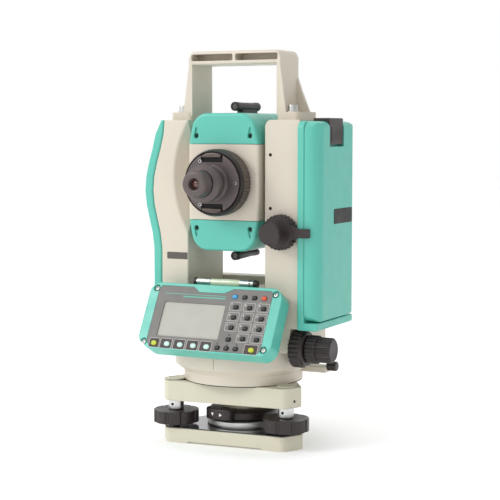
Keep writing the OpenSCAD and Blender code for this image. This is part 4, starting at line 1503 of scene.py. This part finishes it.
@dataclass
class Clamps:
    """The two clamp rings and the two tangent knobs."""

    ribs: int = 26
    rib_depth: float = 0.9
    knob_ribs: int = 22

    def build(self) -> None:
        """Builds both pairs."""
        self.vertical()
        self.horizontal()

    def grip(self, axis: Axis, centre: Vector, radius: float, start: float, end: float, ribs: int) -> Shape:
        """A ribbed grip with rounded rims.

        Args:
            axis: The grip's axis.
            centre: A point on it.
            radius: Radius over the ribs.
            start: Lower end, counted along the axis from centre.
            end: Upper end.
            ribs: How many ribs there are.

        Returns:
            The grip.
        """
        made = Shape.ribbed(axis, centre, radius, self.rib_depth, ribs, start, end)
        offset = centre[axis.index]
        return made.rounded(0.9, 3, rim(axis.index, start + offset, end + offset), 40)

    def knob(self, axis: Axis, centre: Vector, radius: float, start: float, end: float, tip: int) -> Shape:
        """A two-tier tangent knob with a flat end disc.

        Args:
            axis: The knob's axis.
            centre: A point on it.
            radius: Radius of the wide tier.
            start: Lower end along the axis.
            end: Upper end.
            tip: 1 if the outer end is the upper one, else -1.

        Returns:
            The knob.
        """
        length = end - start
        inner, outer = (start, end) if tip > 0 else (end, start)
        shoulder = inner + tip * length * 0.42
        low, high = sorted((inner, shoulder))
        made = self.grip(axis, centre, radius, low, high, self.knob_ribs)
        low, high = sorted((inner + tip * 1.0, outer - tip * 0.8))
        made.joined(self.grip(axis, centre, radius - 1.3, low, high, self.knob_ribs))
        disc_r, depth = radius - 2.2, -tip * 2.5
        disc = [(0, 0), (radius - 3.0, 0), (disc_r, -tip * 0.7), (disc_r, depth), (0, depth)]
        base = Vector((0, 0, 0))
        base[axis.index] = outer
        return made.joined(Shape.turned(disc, axis, centre + base, 64))

    def vertical(self) -> None:
        """Vertical clamp ring with its lever, and the vertical tangent knob."""
        low, high = cad_box("vertical_clamp")
        radius = (high.z - low.z) / 2
        centre = Vector((low.x + radius, 0, (low.z + high.z) / 2))
        ring = self.grip(Axis.Y, centre, radius, low.y + 3.0, high.y, self.ribs)
        rim_r = radius - 1.3
        plain = [(0, low.y), (radius - 2.2, low.y), (rim_r, low.y + 0.8), (rim_r, low.y + 4), (0, low.y + 4)]
        ring.joined(Shape.turned(plain, Axis.Y, centre, 64))
        face = low.y + 1.0
        lever = [
            (centre.x + 8, -8.2), (high.x - 8, -3.0), (high.x - 7.6, -3.9), (high.x, -3.9), (high.x, 3.9),
            (high.x - 7.6, 3.9), (high.x - 8, 3.0), (centre.x + 8, 8.2),
        ]
        arm = Shape.prism(lever, Axis.Y, face, face + 5.0).moved((0, 0, centre.z)).softened(0.8, 3)
        ring.joined(arm).piece("vertical_clamp_ring", "clamp_vertical", GRIP_NYLON, ["vertical_clamp"], 40)
        low, high = cad_box("vertical_tangent")
        radius = (high.z - low.z) / 2
        back = cad_box("vertical_clamp")[0].y - 0.5
        knob = self.knob(Axis.Y, centre, radius, low.y, back, -1)
        knob.piece("vertical_tangent_knob", "tangent_vertical", GRIP_NYLON, ["vertical_tangent"], 40)

    def horizontal(self) -> None:
        """Horizontal clamp ring, and the horizontal tangent knob."""
        low, high = cad_box("horizontal_clamp")
        radius = (high.z - low.z) / 2
        centre = Vector((0, (low.y + high.y) / 2, (low.z + high.z) / 2))
        ring = self.grip(Axis.X, centre, radius, low.x, high.x - 3.2, self.ribs)
        plain = [
            (0, high.x), (radius - 3.0, high.x), (radius - 1.6, high.x - 1.0), (radius - 1.3, high.x - 4),
            (0, high.x - 4),
        ]
        ring.joined(Shape.turned(plain, Axis.X, centre, 64))
        ring.piece("horizontal_clamp_ring", "clamp_horizontal", GRIP_NYLON, ["horizontal_clamp"], 40)
        knob_low, tip = cad_box("horizontal_tangent")
        radius = (tip.z - knob_low.z) / 2
        knob = self.knob(Axis.X, centre, radius, high.x + 0.5, tip.x, 1)
        knob.piece("horizontal_tangent_knob", "tangent_horizontal", GRIP_NYLON, ["horizontal_tangent"], 40)


# ---- Studio ----


@dataclass
class Studio:
    """A pale floor, soft lights and the camera."""

    camera_place: tuple[float, float, float] = (0.5665, -1.1232, 0.278)
    azimuth: float = 26.5
    pitch: float = 4.9
    focal_length: float = 101.2
    floor_size: float = 6.0
    floor_glow: float = 0.14
    room_dark: float = 0.5
    aim: tuple[float, float, float] = (0.0, 0.0, 0.18)

    def build(self) -> None:
        """Builds the floor, the lights and the camera."""
        scene = bpy.context.scene
        scene.view_settings.view_transform = "Standard"
        floor_mesh = bpy.data.meshes.new("floor")
        bm = bmesh.new()
        bmesh.ops.create_grid(bm, x_segments=1, y_segments=1, size=self.floor_size)
        bm.to_mesh(floor_mesh)
        bm.free()
        floor = bpy.data.objects.new("floor", floor_mesh)
        scene.collection.objects.link(floor)
        paint = bpy.data.materials.new("floor_paint")
        paint.use_nodes = True
        shader = paint.node_tree.nodes["Principled BSDF"]
        shader.inputs["Base Color"].default_value = linear("ffffff")
        shader.inputs["Roughness"].default_value = 0.9
        # A faint glow of its own lets the floor meet the backdrop without a hard line.
        shader.inputs["Emission Color"].default_value = linear("ffffff")
        shader.inputs["Emission Strength"].default_value = self.floor_glow
        floor_mesh.materials.append(paint)
        world = bpy.data.worlds.new("studio")
        scene.world = world
        world.use_nodes = True
        back = world.node_tree.nodes["Background"]
        back.inputs["Color"].default_value = linear("ffffff")
        # The room is a little darker on the right, so that forms turn away from the light.
        towards = add_node(world.node_tree, "TexCoord").outputs["Generated"]
        split = add_node(world.node_tree, "SeparateXYZ", inputs={"Vector": towards}).outputs["X"]
        falloff = {"Value": split, "From Min": -0.1, "From Max": 1.0, "To Min": 1.0, "To Max": self.room_dark}
        fade = add_node(world.node_tree, "MapRange", inputs=falloff).outputs["Result"]
        world.node_tree.links.new(fade, back.inputs["Strength"])
        self.area("key_light", (-1.1, -1.3, 1.2), 0.7, 12.0)
        self.area("top_light", (0.1, 0.2, 1.7), 0.9, 3.0)
        camera = bpy.data.objects.new("camera", bpy.data.cameras.new("camera"))
        scene.collection.objects.link(camera)
        camera.data.lens = self.focal_length
        camera.location = self.camera_place
        camera.rotation_euler = (math.radians(90 - self.pitch), 0, math.radians(self.azimuth))
        scene.camera = camera

    def area(self, name: str, place: tuple[float, float, float], size: float, power: float) -> None:
        """Adds a square soft light that faces the middle of the instrument.

        Args:
            name: The light's name.
            place: Where it stands, in metres.
            size: Its width in metres.
            power: Its power in watts.
        """
        lamp = bpy.data.lights.new(name, "AREA")
        lamp.shape = "SQUARE"
        lamp.size = size
        lamp.energy = power
        made = bpy.data.objects.new(name, lamp)
        bpy.context.scene.collection.objects.link(made)
        made.location = place
        towards = Vector(self.aim) - Vector(place)
        made.rotation_mode = "QUATERNION"
        made.rotation_quaternion = towards.to_track_quat("-Z", "Y")


def main() -> None:
    """Builds the instrument's sub-assemblies in order, then the studio."""
    logging.basicConfig(level=logging.INFO, format="%(message)s")
    for part in (LevellingBase, Alidade, CarryHandle, BatterySide, Keyboard, Telescope, Clamps, Studio):
        LOG.info("building %s", part.__name__)
        part().build()


if __name__ == "__main__":
    main()
